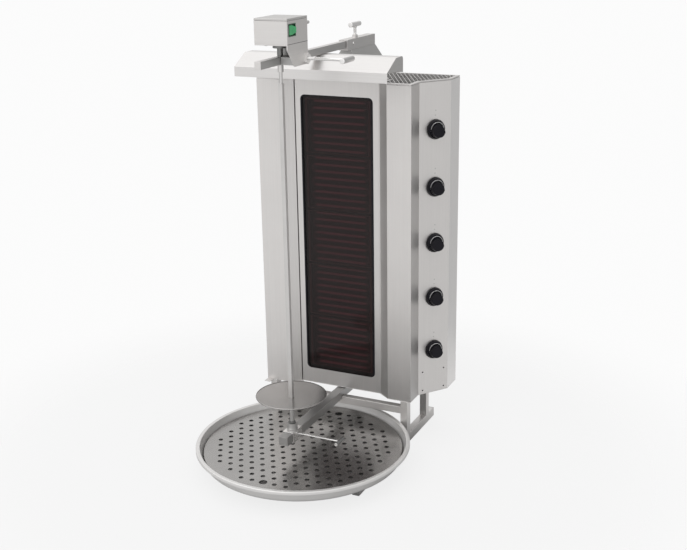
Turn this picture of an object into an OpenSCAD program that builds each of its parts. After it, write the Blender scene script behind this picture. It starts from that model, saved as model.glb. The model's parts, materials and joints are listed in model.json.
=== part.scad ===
// Upright doner grill: a heated column, a motor on a top arm that turns the spit, a foot carriage and a drip tray.
// X runs across the front, Y from front to back, Z up from the floor. Lengths are in millimetres.

/* [Base frame] */
// Outer distance between the two floor rails
rail_span = 420; // [400:1:440]
// Width of a frame tube
tube_w = 20; // [16:1:22]
// Height of a floor rail
rail_h = 25; // [22:1:28]
// How far the floor rails run ahead of the column front
rail_front = 315; // [290:1:330]
// How far the floor rails run behind the column front
rail_back = 202; // [190:1:204]
// Wall of the frame tubes
tube_wall = 1.5; // [1:0.1:2.5]
// Height of the housing's underside above the floor
leg_top = 125; // [121:1:135]
// Depth of a front leg
leg_d = 24; // [20:1:28]
// Height of a cross rail
cross_h = 20; // [16:1:22]
// Gap between a cross rail and the housing
cross_drop = 17; // [14:1:20]
// Depth of a plastic plug inside a rail end
plug_depth = 12; // [6:1:20]
// Thickness of a plug's outer rim
plug_rim = 3; // [2:0.5:5]

/* [Housing] */
// Width of the recessed burner front
burner_w = 239; // [232:1:246]
// How far the burner front lies behind the column fronts
recess_d = 25; // [18:1:32]
// Width of the flared face beside the burner front
flare_w = 33.5; // [26:0.5:40]
// Width of a flat column front
column_w = 67; // [60:1:72]
// Depth of a column's side face
column_d = 55; // [50:1:62]
// Sideways run of the slanted control face
slant_w = 56.5; // [54:0.5:62]
// Rearward run of the slanted control face
slant_d = 76.5; // [74:0.5:82]
// Depth of the rear side face
side_d = 66.5; // [64:0.5:74]
// Height of the housing without its top plate rim
housing_h = 855; // [850:1:870]
// Thickness of the housing sheets
sheet_t = 1.2; // [0.8:0.1:1.6]
// Gap between the burner front and the columns
burner_gap = 3; // [1:0.5:4]
// Width of a folded flange
flange_w = 12; // [10:1:15]
// Width of the seam between two sheets
seam = 0.4; // [0.3:0.1:0.8]
// Thickness of the bottom plate
bottom_t = 1.5; // [1:0.1:2.5]
// Width of a vent slot in the bottom plate
vent_w = 6; // [4:1:8]
// Length of a vent slot in the bottom plate
vent_l = 60; // [40:1:66]
// Width of the small tab at the bottom plate's left front
tab_w = 18; // [14:1:22]
// Reach of the small tab at the bottom plate's left front
tab_d = 22; // [14:1:26]

/* [Top plate] */
// Height of the top plate's folded rim
rim_h = 4; // [3:0.5:6]
// Thickness of the top plate
top_t = 1.5; // [1:0.1:2]
// Distance between diamond holes across the plate
mesh_x = 20; // [18:1:24]
// Distance between diamond holes from front to back
mesh_y = 16; // [14:1:20]
// Width of the webs between diamond holes
mesh_web = 4; // [3:0.5:5]
// Solid margin round the diamond holes
mesh_margin = 14; // [12:1:18]

/* [Burner] */
// Width of the window in the burner front
window_w = 200; // [190:1:206]
// Height of the burner front's strip above the window
window_down = 41; // [35:1:60]
// Height of the window's lower edge above the housing's underside
window_up = 45; // [40:1:60]
// Corner radius of the window
window_r = 12; // [6:1:16]
// How far glass and seal reach behind the burner front round the window
glass_lap = 8; // [6:0.5:9]
// Thickness of the heat resistant glass
glass_t = 4; // [3:0.5:5]
// Thickness of the fibre seal
seal_t = 1.5; // [1:0.5:2.5]
// Width of the fibre seal
seal_w = 7; // [5:0.5:7]
// Depth of the burner front's folded flanges
burner_flange = 18; // [12:1:22]
// Number of heating zones
zones = 5; // [3:1:5]
// Height of the housing that the zones leave free at each end
zone_margin = 48.75; // [47.5:0.25:60]
// Width of a fibre heater tray
heater_w = 190; // [180:1:194]
// Gap between two heater trays
heater_gap = 5; // [3:1:12]
// Depth of a heater tray
heater_d = 28; // [24:1:30]
// Wall of a heater tray
heater_wall = 8; // [6:1:10]
// Depth of the hollow in a heater tray
heater_well = 14; // [10:1:16]
// Height of a zone that its ribbon leaves free
ribbon_margin = 32.5; // [30:0.5:40]
// Runs in one heating ribbon
ribbon_runs = 8; // [6:1:8]
// Thickness of a heating ribbon
ribbon_t = 2; // [1.5:0.5:3]
// Height of a heating ribbon's wavy band
ribbon_band = 7; // [5:0.5:8]
// Thickness of the rails that carry the heaters
carrier_t = 2; // [1.5:0.5:3]
// Width of the rails that carry the heaters
carrier_w = 14; // [12:1:16]
// Thickness of the insulating board
board_t = 22; // [16:1:26]

/* [Controls] */
// Diameter of a knob's skirt
knob_d = 52; // [46:1:54]
// Height of a knob's skirt
skirt_h = 9; // [7:0.5:11]
// Height of a knob over the control face
knob_h = 23; // [20:0.5:26]
// Diameter of the knob's raised grip
grip_d = 39; // [34:1:40]
// Width of the knob's raised grip
grip_w = 25; // [20:1:28]
// Gap between a knob and the control face
knob_gap = 1; // [0.6:0.1:2]
// Height of the middle knob above the housing's middle
knob_up = 2.5; // [-2:0.5:12]
// Distance of the knobs from the control face's front edge
knob_u = 48.5; // [44:0.5:50]
// Diameter of a knob spindle
spindle_d = 6; // [5:0.5:8]
// Length of a spindle inside the knob
spindle_out = 15; // [10:1:16]
// Length of a spindle inside its regulator
spindle_in = 18; // [12:1:24]
// Running clearance of a spindle
spindle_fit = 0.08; // [0.04:0.01:0.1]
// Half distance between two service screws across the control face
service_half = 34; // [30:1:36]
// Height of the lower service screws above the housing's underside
service_low = 11; // [8:1:16]
// Height of the upper service screws above the housing's underside
service_high = 65; // [56:1:72]
// Width of an energy regulator
regulator_w = 44; // [38:1:48]
// Depth of an energy regulator
regulator_d = 36; // [30:1:40]

/* [Hood] */
// Width of the hood
hood_w = 419; // [400:1:430]
// How far the hood's lip hangs ahead of the column front
hood_front = 128; // [120:1:132]
// How far the hood's back wall lies ahead of the column front
hood_back = 28; // [24:1:34]
// Height of the hood's front lip
lip_h = 25; // [20:1:30]
// Height of the lip's lower edge above the top plate
lip_up = 18; // [14:1:22]
// Sideways view depth of the hood's slope
slope_d = 56; // [50:1:62]
// Height of the hood's ridge above the top plate
ridge_up = 73; // [68:0.5:73]
// Corner radius at the hood's rear edge
hood_r = 8; // [5:1:12]
// Height of the hood's back wall over the top plate
hood_skirt_up = 34; // [28:1:40]
// Distance of a hood bracket from the middle
bracket_x = 120; // [90:1:150]
// Width of a hood bracket
bracket_w = 30; // [20:1:36]
// Thickness of a hood bracket
bracket_t = 3; // [2:0.5:4]

/* [Top arm] */
// Width of the solid arm
arm_w = 16; // [14:0.5:17]
// Height of the solid arm
arm_h = 18; // [17:0.5:19]
// Height of the arm's underside above the top plate
arm_up = 73.5; // [73.5:0.5:76]
// How far the arm reaches ahead of the column front
arm_front = 377; // [366:1:390]
// How far the arm reaches behind the column front
arm_back = 170; // [165:1:190]
// Gap round the arm in its sleeve
arm_gap = 0.3; // [0.2:0.05:0.5]
// Outer width of the sleeve
sleeve_w = 25; // [23:0.5:27]
// Outer height of the sleeve
sleeve_h = 27; // [25:0.5:28]
// Wall over the arm in the sleeve
sleeve_wall = 2.2; // [2:0.1:3]
// Distance of the sleeve's front end behind the column front
sleeve_front = 74; // [70:1:80]
// Distance of the sleeve's rear end behind the column front
sleeve_back = 250; // [240:1:256]
// Distance of the sleeve screw behind the column front
sleeve_screw_y = 148; // [144:1:150]
// Distance of the stand's front behind the column front
stand_front = 90; // [86:1:94]
// Half width of the sleeve stand at its foot
stand_half = 59; // [52:1:62]
// Thickness of the sleeve stand
stand_t = 2; // [1.5:0.5:3]
// Width of the stand's feet
stand_foot = 16; // [14:1:20]
// Diameter of the bush under the arm
arm_bush_d = 14; // [13:0.5:16]
// Height of the bush under the arm
arm_bush_h = 18; // [14:1:20]

/* [Clamp screws] */
// Diameter of the upper clamp screws
screw_d = 8; // [7:0.5:9]
// Diameter of the upper screws' cross handles
handle_d = 13; // [12:0.5:14]
// Length of the upper screws' cross handles
handle_l = 57; // [50:1:64]
// Height of the sleeve screw's handle above the arm
sleeve_screw_h = 36; // [32:1:40]
// Length of the motor screw outside its bracket
motor_screw_l = 107; // [96:1:112]
// Diameter of the foot screw
foot_screw_d = 5.5; // [5:0.5:6]
// Diameter of the foot screw's cross handle
foot_handle_d = 9; // [8:0.5:10]
// Length of the foot screw's cross handle
foot_handle_l = 44; // [38:1:50]
// Length of the foot screw outside its slider
foot_screw_l = 122; // [108:1:128]
// Thread clearance of a clamp screw
thread_fit = 0.06; // [0.04:0.01:0.1]
// Height of a welded nut
nut_h = 7; // [6:0.5:9]
// Width of the large nut on the motor bracket
motor_nut_d = 27; // [20:1:28]

/* [Motor head] */
// Distance of the spit ahead of the column front
spit_y = 269; // [265:1:272]
// Width of the motor box
box_w = 86; // [84:1:92]
// Depth of the motor box ahead of the spit
box_ahead = 43; // [42:1:48]
// Depth of the motor box behind the spit
box_behind = 58; // [56:1:60]
// Height of the motor box
box_h = 58; // [56:1:62]
// Thickness of the motor box sheet
box_t = 1.2; // [1:0.1:1.6]
// Height of the motor box's underside above the arm
box_up = 31.5; // [28:0.5:33]
// Thickness of the motor bracket
plate_t = 3; // [2.5:0.5:4]
// Depth of the bracket's cheek below the arm's underside
cheek_drop = 3.5; // [2:0.5:4]
// Length of the chamfer on the bracket's cheek
cheek_chamfer = 34; // [28:1:38]
// Height of the lid's edge
lid_edge = 5; // [3:0.5:8]
// Width of the rocker switch from front to back
switch_w = 34; // [32:0.5:35]
// Height of the rocker switch
switch_h = 29; // [27:0.5:30]
// Distance of the switch's middle ahead of the spit
switch_ahead = 19; // [18:0.5:20]
// Distance of the switch below the motor box's top
switch_drop = 12; // [9:0.5:14]
// Tilt of the rocker to each side
rocker_tilt = 9; // [6:0.5:10]
// Diameter of the drive flange
flange_d = 34; // [28:1:36]
// Diameter of the drive coupling
coupling_d = 14; // [13:0.5:16]
// Diameter of the drive shaft
drive_d = 10; // [8:0.5:12]

/* [Spit] */
// Width of the square spit bar
spit_w = 10.5; // [9:0.5:12]
// Diameter of the spit's lower end
spit_foot_d = 12; // [11:0.5:12]
// Diameter of the spit's neck in the arm
neck_d = 8.5; // [8:0.5:9]
// Length of the neck below the arm's bush
neck_below = 27; // [24:1:30]
// Width of the spit's square tip
tip_w = 6; // [5:0.5:6]
// Length of the spit's square tip
tip_l = 9; // [7:0.5:10]
// Radius of the meat disc
disc_r = 91; // [86:1:96]
// Height of the meat disc's rim above the floor
disc_z = 219; // [214:1:226]
// Depth of the meat disc's dish
disc_dip = 7; // [5:1:12]
// Thickness of the meat disc
disc_t = 1.5; // [1:0.1:2]
// Diameter of the collar under the disc
collar_d = 26; // [22:1:30]
// Height of the collar under the disc
collar_h = 14; // [10:1:18]

/* [Foot carriage] */
// Width of the lower arm
low_arm_w = 25; // [22:0.5:26]
// Height of the lower arm
low_arm_h = 24; // [22:0.5:25]
// Gap between the lower arm and the housing
low_arm_drop = 2; // [1:0.5:4]
// How far the lower arm reaches ahead of the column front
low_arm_front = 320; // [308:1:326]
// Wall of the foot slider
slider_wall = 2.2; // [2:0.1:3]
// Length of the foot slider
slider_l = 50; // [44:1:56]
// Gap round the lower arm in the slider
slider_gap = 0.3; // [0.2:0.05:0.5]
// Diameter of the foot cup
cup_d = 27; // [26:0.5:30]
// Height of the foot cup
cup_h = 17.5; // [15:0.5:20]
// Diameter of the bush in the cup
foot_bush_d = 20; // [18:0.5:21]
// Diameter of the bush's collar
bush_collar_d = 16; // [15:0.5:18]
// Height of the bush's collar over the cup
bush_collar_h = 5; // [4:0.5:7]

/* [Drip tray] */
// Outer radius of the tray
tray_r = 282; // [276:1:284]
// Distance of the tray's middle ahead of the column front
tray_y = 212; // [212:1:222]
// Width of the tray's flat rim
tray_rim = 9.5; // [6:0.5:11]
// Height of the tray
tray_h = 40.7; // [36:0.1:44]
// How far the tray's wall leans in
tray_lean = 8; // [5:1:9]
// Radius between the tray's wall and its floor
tray_corner = 16; // [8:1:16]
// Thickness of the tray
tray_t = 1.5; // [1:0.1:2]
// Depth of the rim's folded edge
tray_edge = 8; // [6:0.5:10]
// Gap between the tray and the floor rails
tray_gap = 0.3; // [0.2:0.05:0.5]
// Gap between the perforated plate and the foot of the tray's wall
sieve_gap = 0.5; // [0.3:0.1:3]
// Height of the perforated plate over the tray floor
sieve_up = 23; // [23:0.5:26]
// Thickness of the perforated plate
sieve_t = 1.5; // [1:0.1:2]
// Depth of the perforated plate's folded edge
sieve_edge = 6; // [4:0.5:7]
// Distance between the drain holes
hole_pitch = 31.5; // [30:0.5:33]
// Diameter of a drain hole
hole_d = 10; // [8:0.5:12]
// Diameter of a finger hole
finger_d = 19; // [18:0.5:22]
// Width of the plate's border outside the drain holes' centres
hole_border = 30.5; // [28.5:0.5:37]

/* [Fasteners and cable entry] */
// Diameter of a panel screw's head
head_d = 8; // [6:0.5:9]
// Height of a panel screw's head
head_h = 2.2; // [1.5:0.1:3]
// Diameter of a panel screw's shank
shank_d = 4; // [3:0.5:5]
// Length of a panel screw's shank
shank_l = 8; // [6:0.5:9]
// Clearance round a panel screw's shank
shank_fit = 0.1; // [0.05:0.01:0.2]
// Diameter of the cable gland
gland_d = 30; // [26:1:34]
// Bore of the cable gland
gland_bore = 13; // [10:1:16]
// Length of the cable gland outside the housing
gland_l = 22; // [18:1:26]
// Height of the cable gland above the housing's underside
gland_up = 48; // [40:1:80]
// Distance of the cable gland from the side panel
gland_in = 60; // [50:1:80]

/* [Hidden] */

// Smoothness of large and small round faces
round_fn = 96;
small_fn = 48;
crown_steps = 4;
dish_steps = 12;
// Overrun of every cut, and the seat left between pieces that rest on each other
over = 1;
seat = 0.3;

// The tray's front and the sleeve's rear end are the part's two ends in Y, and the origin lies between them
front_y = (tray_y + tray_r - sleeve_back) / 2;

// Each heating zone has one share of the housing's height, one ribbon and one knob
zone_pitch = (housing_h - 2 * zone_margin) / zones;
ribbon_pitch = (zone_pitch - ribbon_margin) / (ribbon_runs - 1);
window_h = housing_h - window_up - window_down;

steel = [0.78, 0.77, 0.75];
dark_steel = [0.62, 0.61, 0.6];
polished = [0.85, 0.85, 0.84];
black = [0.09, 0.09, 0.1];
green = [0.1, 0.55, 0.25];

top_z = leg_top + housing_h + rim_h;
wall_z = leg_top + bottom_t;
wall_h = housing_h - bottom_t;
burner_half = burner_w / 2;
front_x = burner_half + flare_w;
column_x = front_x + column_w;
side_x = column_x + slant_w;
slant_y = column_d + slant_d;
back_y = slant_y + side_d;
slant_len = norm([slant_w, slant_d]);
slant_turn = atan2(slant_d, slant_w);
slant_start = [column_x, column_d] + seam * [slant_w, slant_d] / slant_len;

// Plan of the right half, from the burner front to the back
half_plan = [
    [burner_half, recess_d], [front_x, 0], [column_x, 0], [column_x, column_d], [side_x, slant_y], [side_x, back_y]
];

function mirrored(points) = [for (i = [len(points) - 1:-1:0]) [-points[i].x, points[i].y]];
function plan() = concat(half_plan, mirrored(half_plan));

// A folded sheet is drawn as its outer line and the same line moved to the left by its thickness
function left_of(a, b) = [a.y - b.y, b.x - a.x] / norm(b - a);
function moved(points, i, t) =
    let (
        last = len(points) - 1,
        before = left_of(points[max(i - 1, 0)], points[max(i, 1)]),
        after = left_of(points[min(i, last - 1)], points[min(i + 1, last)])
    )
    points[i] + t * (before + after) / (1 + before * after);
function folded(points, t) = concat(points, [for (i = [len(points) - 1:-1:0]) moved(points, i, t)]);
function inset(points, t) = [for (i = [0:len(points) - 1]) let (
    last = len(points) - 1,
    before = left_of(points[i == 0 ? last : i - 1], points[i]),
    after = left_of(points[i], points[i == last ? 0 : i + 1])
) points[i] + t * (before + after) / (1 + before * after)];
function arc(centre, r, from, to, steps = 8) =
    [for (i = [0:steps]) let (a = from + (to - from) * i / steps) centre + r * [cos(a), sin(a)]];

module set_back() { translate([0, front_y, 0]) children(); }
module at_zone() { for (i = [0:zones - 1]) translate([0, 0, (i - (zones - 1) / 2) * zone_pitch]) children(); }
module both_sides() { children(); mirror([1, 0, 0]) children(); }
module sheet_wall(points, t, h) { linear_extrude(h) polygon(folded(points, t)); }

// A profile drawn with Y to the right and Z up, drawn out along X
module across(width) { translate([-width / 2, 0, 0]) rotate([90, 0, 90]) linear_extrude(width) children(); }

// A profile drawn with X to the right and Z up, drawn out from front to back
module rearward(from, to) { translate([0, to, 0]) rotate([90, 0, 0]) linear_extrude(to - from) children(); }

module rounded_window(w, h, r) {
    translate([-w / 2 + r, 0]) square([w - 2 * r, h]);
    translate([-w / 2, r]) square([w, h - 2 * r]);
    for (x = [-w / 2 + r, w / 2 - r], y = [r, h - r]) translate([x, y]) circle(r, $fn = small_fn);
}

// A plate standing across the view: its profile has X to the right and Z up, and y is its front face
module upright(y, z, t) { translate([0, y + t, z]) rotate([90, 0, 0]) linear_extrude(t) children(); }

// The control face's own frame: X along the slanted face, Y up, Z out of the face
module on_slant(u, z) {
    translate([column_x, column_d, z]) rotate([0, 0, slant_turn]) translate([u, 0, 0]) rotate([90, 0, 0]) children();
}

module screw(head_r, head_t, shank_r, depth) {
    rotate_extrude($fn = small_fn) polygon(concat(
        [[0, -depth], [shank_r, -depth], [shank_r, 0], [head_r, 0]],
        [for (i = [0:crown_steps]) let (a = 90 * i / crown_steps) [head_r * (1 + cos(a)) / 2, head_t * sin(a)]],
        [[0, head_t]]
    ));
}

// Base frame
rail_x = rail_span / 2;
rear_leg_y = back_y - 2 * tube_w - cross_h + 4 * tube_wall;
cross_z = leg_top - cross_drop - cross_h;
low_arm_top = leg_top - low_arm_drop;
low_arm_z = low_arm_top - low_arm_h;
low_arm_back = rear_leg_y;

module frame_tubes(skin) {
    inner = tube_w - 2 * skin;
    both_sides() {
        translate([rail_x - tube_w + skin, -rail_front, skin])
            cube([inner, rail_front + rail_back, rail_h - 2 * skin]);
        translate([rail_x - tube_w + skin, skin, rail_h]) cube([inner, leg_d - 2 * skin, leg_top - rail_h]);
        translate([rail_x - tube_w + skin, rear_leg_y + skin, rail_h]) cube([inner, inner, leg_top - rail_h]);
    }
    for (y = [0, rear_leg_y])
        translate([-rail_x + tube_w / 2, y + skin, cross_z + skin])
            cube([2 * rail_x - tube_w, inner, cross_h - 2 * skin]);
}

module base_frame() color(steel) set_back() difference() {
    frame_tubes(0);
    difference() {
        union() {
            frame_tubes(tube_wall);
            both_sides() for (y = [-rail_front - over, rail_back - over])
                translate([rail_x - tube_w + tube_wall, y, tube_wall])
                    cube([tube_w - 2 * tube_wall, 2 * over, rail_h - 2 * tube_wall]);
            both_sides() for (y = [tube_wall, rear_leg_y + tube_wall])
                translate([rail_x - tube_w + tube_wall, y, leg_top - over])
                    cube([tube_w - 2 * tube_wall, tube_w - 2 * tube_wall, 2 * over]);
        }
        for (y = [0, rear_leg_y])
            translate([-low_arm_w / 2 - tube_wall, y, cross_z]) cube([low_arm_w + 2 * tube_wall, tube_w, cross_h]);
    }
    translate([-low_arm_w / 2, -over, low_arm_z]) cube([low_arm_w, low_arm_back + over, low_arm_h]);
}

// Plastic plugs in the rail ends
module rail_plugs() color(black) set_back() both_sides() for (back = [0, 1])
    translate([rail_x - tube_w / 2, back ? rail_back : -rail_front, rail_h / 2]) mirror([0, back, 0]) {
        translate([-tube_w / 2, -plug_rim, -rail_h / 2]) cube([tube_w, plug_rim, rail_h]);
        translate([-tube_w / 2 + tube_wall, 0, -rail_h / 2 + tube_wall])
            difference() {
                cube([tube_w - 2 * tube_wall, plug_depth, rail_h - 2 * tube_wall]);
                translate([tube_wall, over, tube_wall])
                    cube([tube_w - 4 * tube_wall, plug_depth, rail_h - 4 * tube_wall]);
            }
    }

// The arm under the housing that carries the spit's foot
module lower_arm() color(steel) set_back() difference() {
    translate([-low_arm_w / 2, -low_arm_front, low_arm_z])
        cube([low_arm_w, low_arm_front + low_arm_back, low_arm_h]);
    translate([-low_arm_w / 2 + tube_wall, -low_arm_front + tube_wall, low_arm_z + tube_wall])
        cube([low_arm_w - 2 * tube_wall, low_arm_front + low_arm_back, low_arm_h - 2 * tube_wall]);
}

// Housing
vent_step = 3 * vent_w;

module vent_slot() {
    translate([-vent_l / 2 + vent_w / 2, -vent_w / 2]) square([vent_l - vent_w, vent_w]);
    for (x = [-vent_l / 2 + vent_w / 2, vent_l / 2 - vent_w / 2]) translate([x, 0]) circle(vent_w / 2, $fn = small_fn);
}

module bottom_plate() color(steel) set_back() translate([0, 0, leg_top]) linear_extrude(bottom_t) difference() {
    union() {
        polygon(plan());
        translate([-column_x + over, -tab_d]) square([tab_w, tab_d + over]);
    }
    for (side = [-1, 1], y = [recess_d + 2 * vent_step:vent_step:rear_leg_y - vent_step])
        translate([side * (burner_half - vent_l / 2 - flange_w), y]) vent_slot();
}

module column_sheet() {
    translate([0, 0, wall_z]) sheet_wall([
        [burner_half + burner_gap, recess_d + burner_flange], [burner_half + burner_gap, recess_d],
        [front_x, 0], [column_x, 0], [column_x, column_d], [column_x - flange_w, column_d]
    ], sheet_t, wall_h);
}

module column_right() color(steel) set_back() column_sheet();
module column_left() color(steel) set_back() mirror([1, 0, 0]) column_sheet();

module at_service_screws() {
    for (side = [-1, 1], up = [service_low, service_high])
        on_slant(knob_u + side * service_half, leg_top + up) children();
}

module control_panel() color(steel) set_back() difference() {
    translate([0, 0, wall_z]) sheet_wall([
        [column_x - flange_w, slant_start.y], slant_start, [side_x, slant_y], [side_x - flange_w, slant_y]
    ], sheet_t, wall_h);
    for (i = [0:zones - 1]) on_slant(knob_u, knob_z(i)) translate([0, 0, -2 * over - sheet_t])
        cylinder(r = bushing_r + spindle_fit, h = 4 * over + sheet_t, $fn = small_fn);
    at_service_screws() translate([0, 0, -2 * over - sheet_t])
        cylinder(r = shank_d / 2 + shank_fit, h = 4 * over + sheet_t, $fn = small_fn);
}

module side_sheet(start) {
    translate([0, 0, wall_z]) sheet_wall(concat(start, [
        [side_x, back_y], [side_x - flange_w, back_y]
    ]), sheet_t, wall_h);
}

module side_panel_right() color(steel) set_back() difference() {
    side_sheet([[side_x - flange_w, slant_y + seam], [side_x, slant_y + seam]]);
    at_back_screws() screw_hole();
}

module side_panel_left() color(steel) set_back() difference() {
    mirror([1, 0, 0]) side_sheet([
        [column_x - flange_w, slant_start.y], slant_start, [side_x, slant_y]
    ]);
    at_back_screws() screw_hole();
}

// Screws of the back panel, out of the back
back_screw_rows = 5;
module at_back_screws() {
    for (side = [-1, 1], i = [0:back_screw_rows - 1])
        translate([side * (side_x - flange_w / 2), back_y + sheet_t,
                wall_z + flange_w + i * (wall_h - 2 * flange_w) / (back_screw_rows - 1)])
            rotate([-90, 0, 0]) children();
}
module screw_hole() {
    translate([0, 0, -shank_l]) cylinder(r = shank_d / 2 + shank_fit, h = shank_l + over, $fn = small_fn);
}

gland_x = side_x - gland_in;
gland_z = leg_top + gland_up;
gland_thread_r = gland_d / 2 - 4 * tube_wall;

module back_panel() color(steel) set_back() difference() {
    translate([-side_x, back_y, leg_top]) cube([2 * side_x, sheet_t, housing_h]);
    at_back_screws() screw_hole();
    translate([gland_x, back_y - over, gland_z]) rotate([-90, 0, 0])
        cylinder(r = gland_thread_r, h = sheet_t + 2 * over, $fn = small_fn);
}

// A gland for the supply cable, with its nut inside the housing
gland_nut = 6;
module cable_gland() color(black) set_back() translate([gland_x, back_y, gland_z]) rotate([-90, 0, 0]) difference() {
    union() {
        translate([0, 0, -gland_nut]) cylinder(r = gland_d / 2, h = gland_nut, $fn = 6);
        cylinder(r = gland_thread_r - shank_fit, h = gland_l, $fn = small_fn);
        translate([0, 0, sheet_t]) cylinder(r = gland_d / 2, h = gland_nut, $fn = 6);
        translate([0, 0, sheet_t + gland_nut]) cylinder(r1 = gland_d / 2 - over,
            r2 = gland_bore / 2 + 2 * over, h = gland_l - gland_nut, $fn = small_fn);
    }
    translate([0, 0, -gland_nut - over]) cylinder(r = gland_bore / 2, h = gland_l + 3 * gland_nut, $fn = small_fn);
}

poles = 5;
module terminal_block() color([0.85, 0.83, 0.76]) set_back() {
    block = [3 * poles * gland_nut, 3 * gland_nut, 4 * gland_nut];
    translate([gland_x - gland_d - block.x, back_y - 2 * block.y, wall_z]) difference() {
        cube(block);
        for (i = [0:poles - 1]) translate([(i + 1 / 2) * block.x / poles, block.y / 2, block.z / 2])
            cylinder(r = block.y / poles, h = block.z, $fn = small_fn);
    }
}

// Top plate with diamond holes and a folded rim
mesh_half = [(mesh_x - mesh_web) / 2, (mesh_y - mesh_web) / 2];

module diamond() { polygon([[mesh_half.x, 0], [0, mesh_half.y], [-mesh_half.x, 0], [0, -mesh_half.y]]); }

function inner_x(y) =
    y > slant_y ? side_x : y > column_d ? column_x + (y - column_d) * slant_w / slant_d : column_x;
function hole_free(x, y) = abs(x) + mesh_half.x + mesh_margin < inner_x(y - mesh_half.y)
    && y + mesh_half.y + mesh_margin < back_y
    && y - mesh_half.y - mesh_margin > (abs(x) < front_x + mesh_half.x ? recess_d : 0)
    && !(abs(x) < stand_half + stand_foot + mesh_half.x && y > stand_front)
    && !(abs(abs(x) - bracket_x) < bracket_w / 2 + mesh_half.x + mesh_web && y < foot_end);
foot_end = recess_d + bracket_w + 2 * mesh_web;

module top_plate() color(steel) set_back() translate([0, 0, top_z - top_t]) difference() {
    union() {
        linear_extrude(top_t) difference() {
            polygon(plan());
            for (j = [0:2 * ceil(back_y / mesh_y)], i = [-ceil(side_x / mesh_x):ceil(side_x / mesh_x)])
                let (x = (i + (j % 2) / 2) * mesh_x, y = j * mesh_y / 2)
                    if (hole_free(x, y)) translate([x, y]) diamond();
        }
        translate([0, 0, top_t - rim_h]) linear_extrude(rim_h - top_t) difference() {
            polygon(plan());
            polygon(inset(plan(), top_t));
        }
    }
    at_roof_screws() screw_hole();
}

// Screws of the hood brackets and the stand's feet, seen from the top plate's upper face
stand_rows = [stand_front + stand_foot, back_y - stand_foot];
module at_roof_screws() {
    translate([0, 0, top_t]) {
        for (side = [-1, 1]) translate([side * bracket_x, foot_end - bracket_w / 3, 0]) children();
        for (side = [-1, 1], y = stand_rows) translate([side * (stand_half + stand_foot / 2), y, 0]) children();
    }
}

module panel_screws() color(polished) set_back() {
    at_service_screws() screw(head_d / 2, head_h, shank_d / 2, shank_l);
    at_back_screws() screw(head_d / 2, head_h, shank_d / 2, shank_l);
    for (side = [-1, 1]) translate([side * bracket_x, foot_end - bracket_w / 3, top_z + bracket_t])
        screw(head_d / 2, head_h, shank_d / 2, shank_l);
    for (side = [-1, 1], y = stand_rows)
        translate([side * (stand_half + stand_foot / 2), y, top_z + stand_t])
            screw(head_d / 2, head_h, shank_d / 2, shank_l);
    at_side_screw() screw(head_d / 2, head_h, shank_d / 2, sleeve_side);
}

// Burner
window_z = leg_top + window_up;
seal_y = recess_d + sheet_t;
glass_y = seal_y + seal_t;
heater_y = glass_y + glass_t;
heater_z = window_z + window_h / 2;

module burner_front() color(steel) set_back() {
    upright(recess_d, wall_z, sheet_t) difference() {
        translate([-burner_half, 0]) square([burner_w, wall_h]);
        translate([0, window_z - wall_z]) rounded_window(window_w, window_h, window_r);
    }
    both_sides() translate([burner_half - sheet_t, recess_d, wall_z]) cube([sheet_t, burner_flange, wall_h]);
}

module ceramic_glass() color([0.13, 0.12, 0.12, 0.9]) set_back()
    upright(glass_y, window_z - glass_lap, glass_t)
        rounded_window(window_w + 2 * glass_lap, window_h + 2 * glass_lap, window_r);

module glass_seal() color([0.85, 0.84, 0.8]) set_back()
    upright(seal_y, window_z - glass_lap, seal_t) difference() {
        rounded_window(window_w + 2 * glass_lap, window_h + 2 * glass_lap, window_r);
        translate([0, seal_w]) rounded_window(window_w + 2 * glass_lap - 2 * seal_w,
            window_h + 2 * glass_lap - 2 * seal_w, window_r);
    }

// Two upright channels hold the glass, the heater trays and the board
module heater_rails() color(dark_steel) set_back() both_sides()
    translate([0, 0, wall_z]) sheet_wall([
        [heater_w / 2 + seat, heater_y + carrier_w / 2], [heater_w / 2 + seat, heater_y + heater_d + carrier_t],
        [heater_w / 2 + seat + carrier_w, heater_y + heater_d + carrier_t]
    ], -carrier_t, wall_h - carrier_t);

ribbon_w = heater_w - 2 * heater_wall - 2 * ribbon_t;
module heater_trays() color([0.86, 0.83, 0.76]) set_back() translate([0, 0, heater_z]) at_zone() difference() {
    translate([-heater_w / 2, heater_y, -(zone_pitch - heater_gap) / 2])
        cube([heater_w, heater_d, zone_pitch - heater_gap]);
    translate([-heater_w / 2 + heater_wall, heater_y - over, -(zone_pitch - heater_gap) / 2 + heater_wall / 2])
        cube([heater_w - 2 * heater_wall, heater_well + over, zone_pitch - heater_gap - heater_wall]);
}

// One ribbon runs to and fro in each tray
module ribbon() {
    turn_r = ribbon_pitch / 2;
    run = ribbon_w / 2 - turn_r - ribbon_band / 2;
    for (i = [0:ribbon_runs - 1]) translate([-run, i * ribbon_pitch - ribbon_t / 2]) square([2 * run, ribbon_t]);
    for (i = [0:ribbon_runs - 2]) let (side = i % 2 ? -1 : 1)
        translate([side * run, (i + 0.5) * ribbon_pitch]) intersection() {
            difference() {
                circle(turn_r + ribbon_t / 2, $fn = small_fn);
                circle(turn_r - ribbon_t / 2, $fn = small_fn);
            }
            translate([side > 0 ? 0 : -ribbon_pitch, -ribbon_pitch]) square([ribbon_pitch, 2 * ribbon_pitch]);
        }
}

module heating_ribbons() color([0.55, 0.1, 0.08]) set_back() translate([0, 0, heater_z]) at_zone()
    upright(heater_y + heater_well - ribbon_band, -(ribbon_runs - 1) * ribbon_pitch / 2, ribbon_band) ribbon();

module insulation_board() color([0.8, 0.76, 0.6]) set_back()
    translate([-burner_half + sheet_t + seat, heater_y + heater_d + carrier_t, wall_z])
        cube([burner_w - 2 * sheet_t - 2 * seat, board_t, wall_h - seat]);

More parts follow.
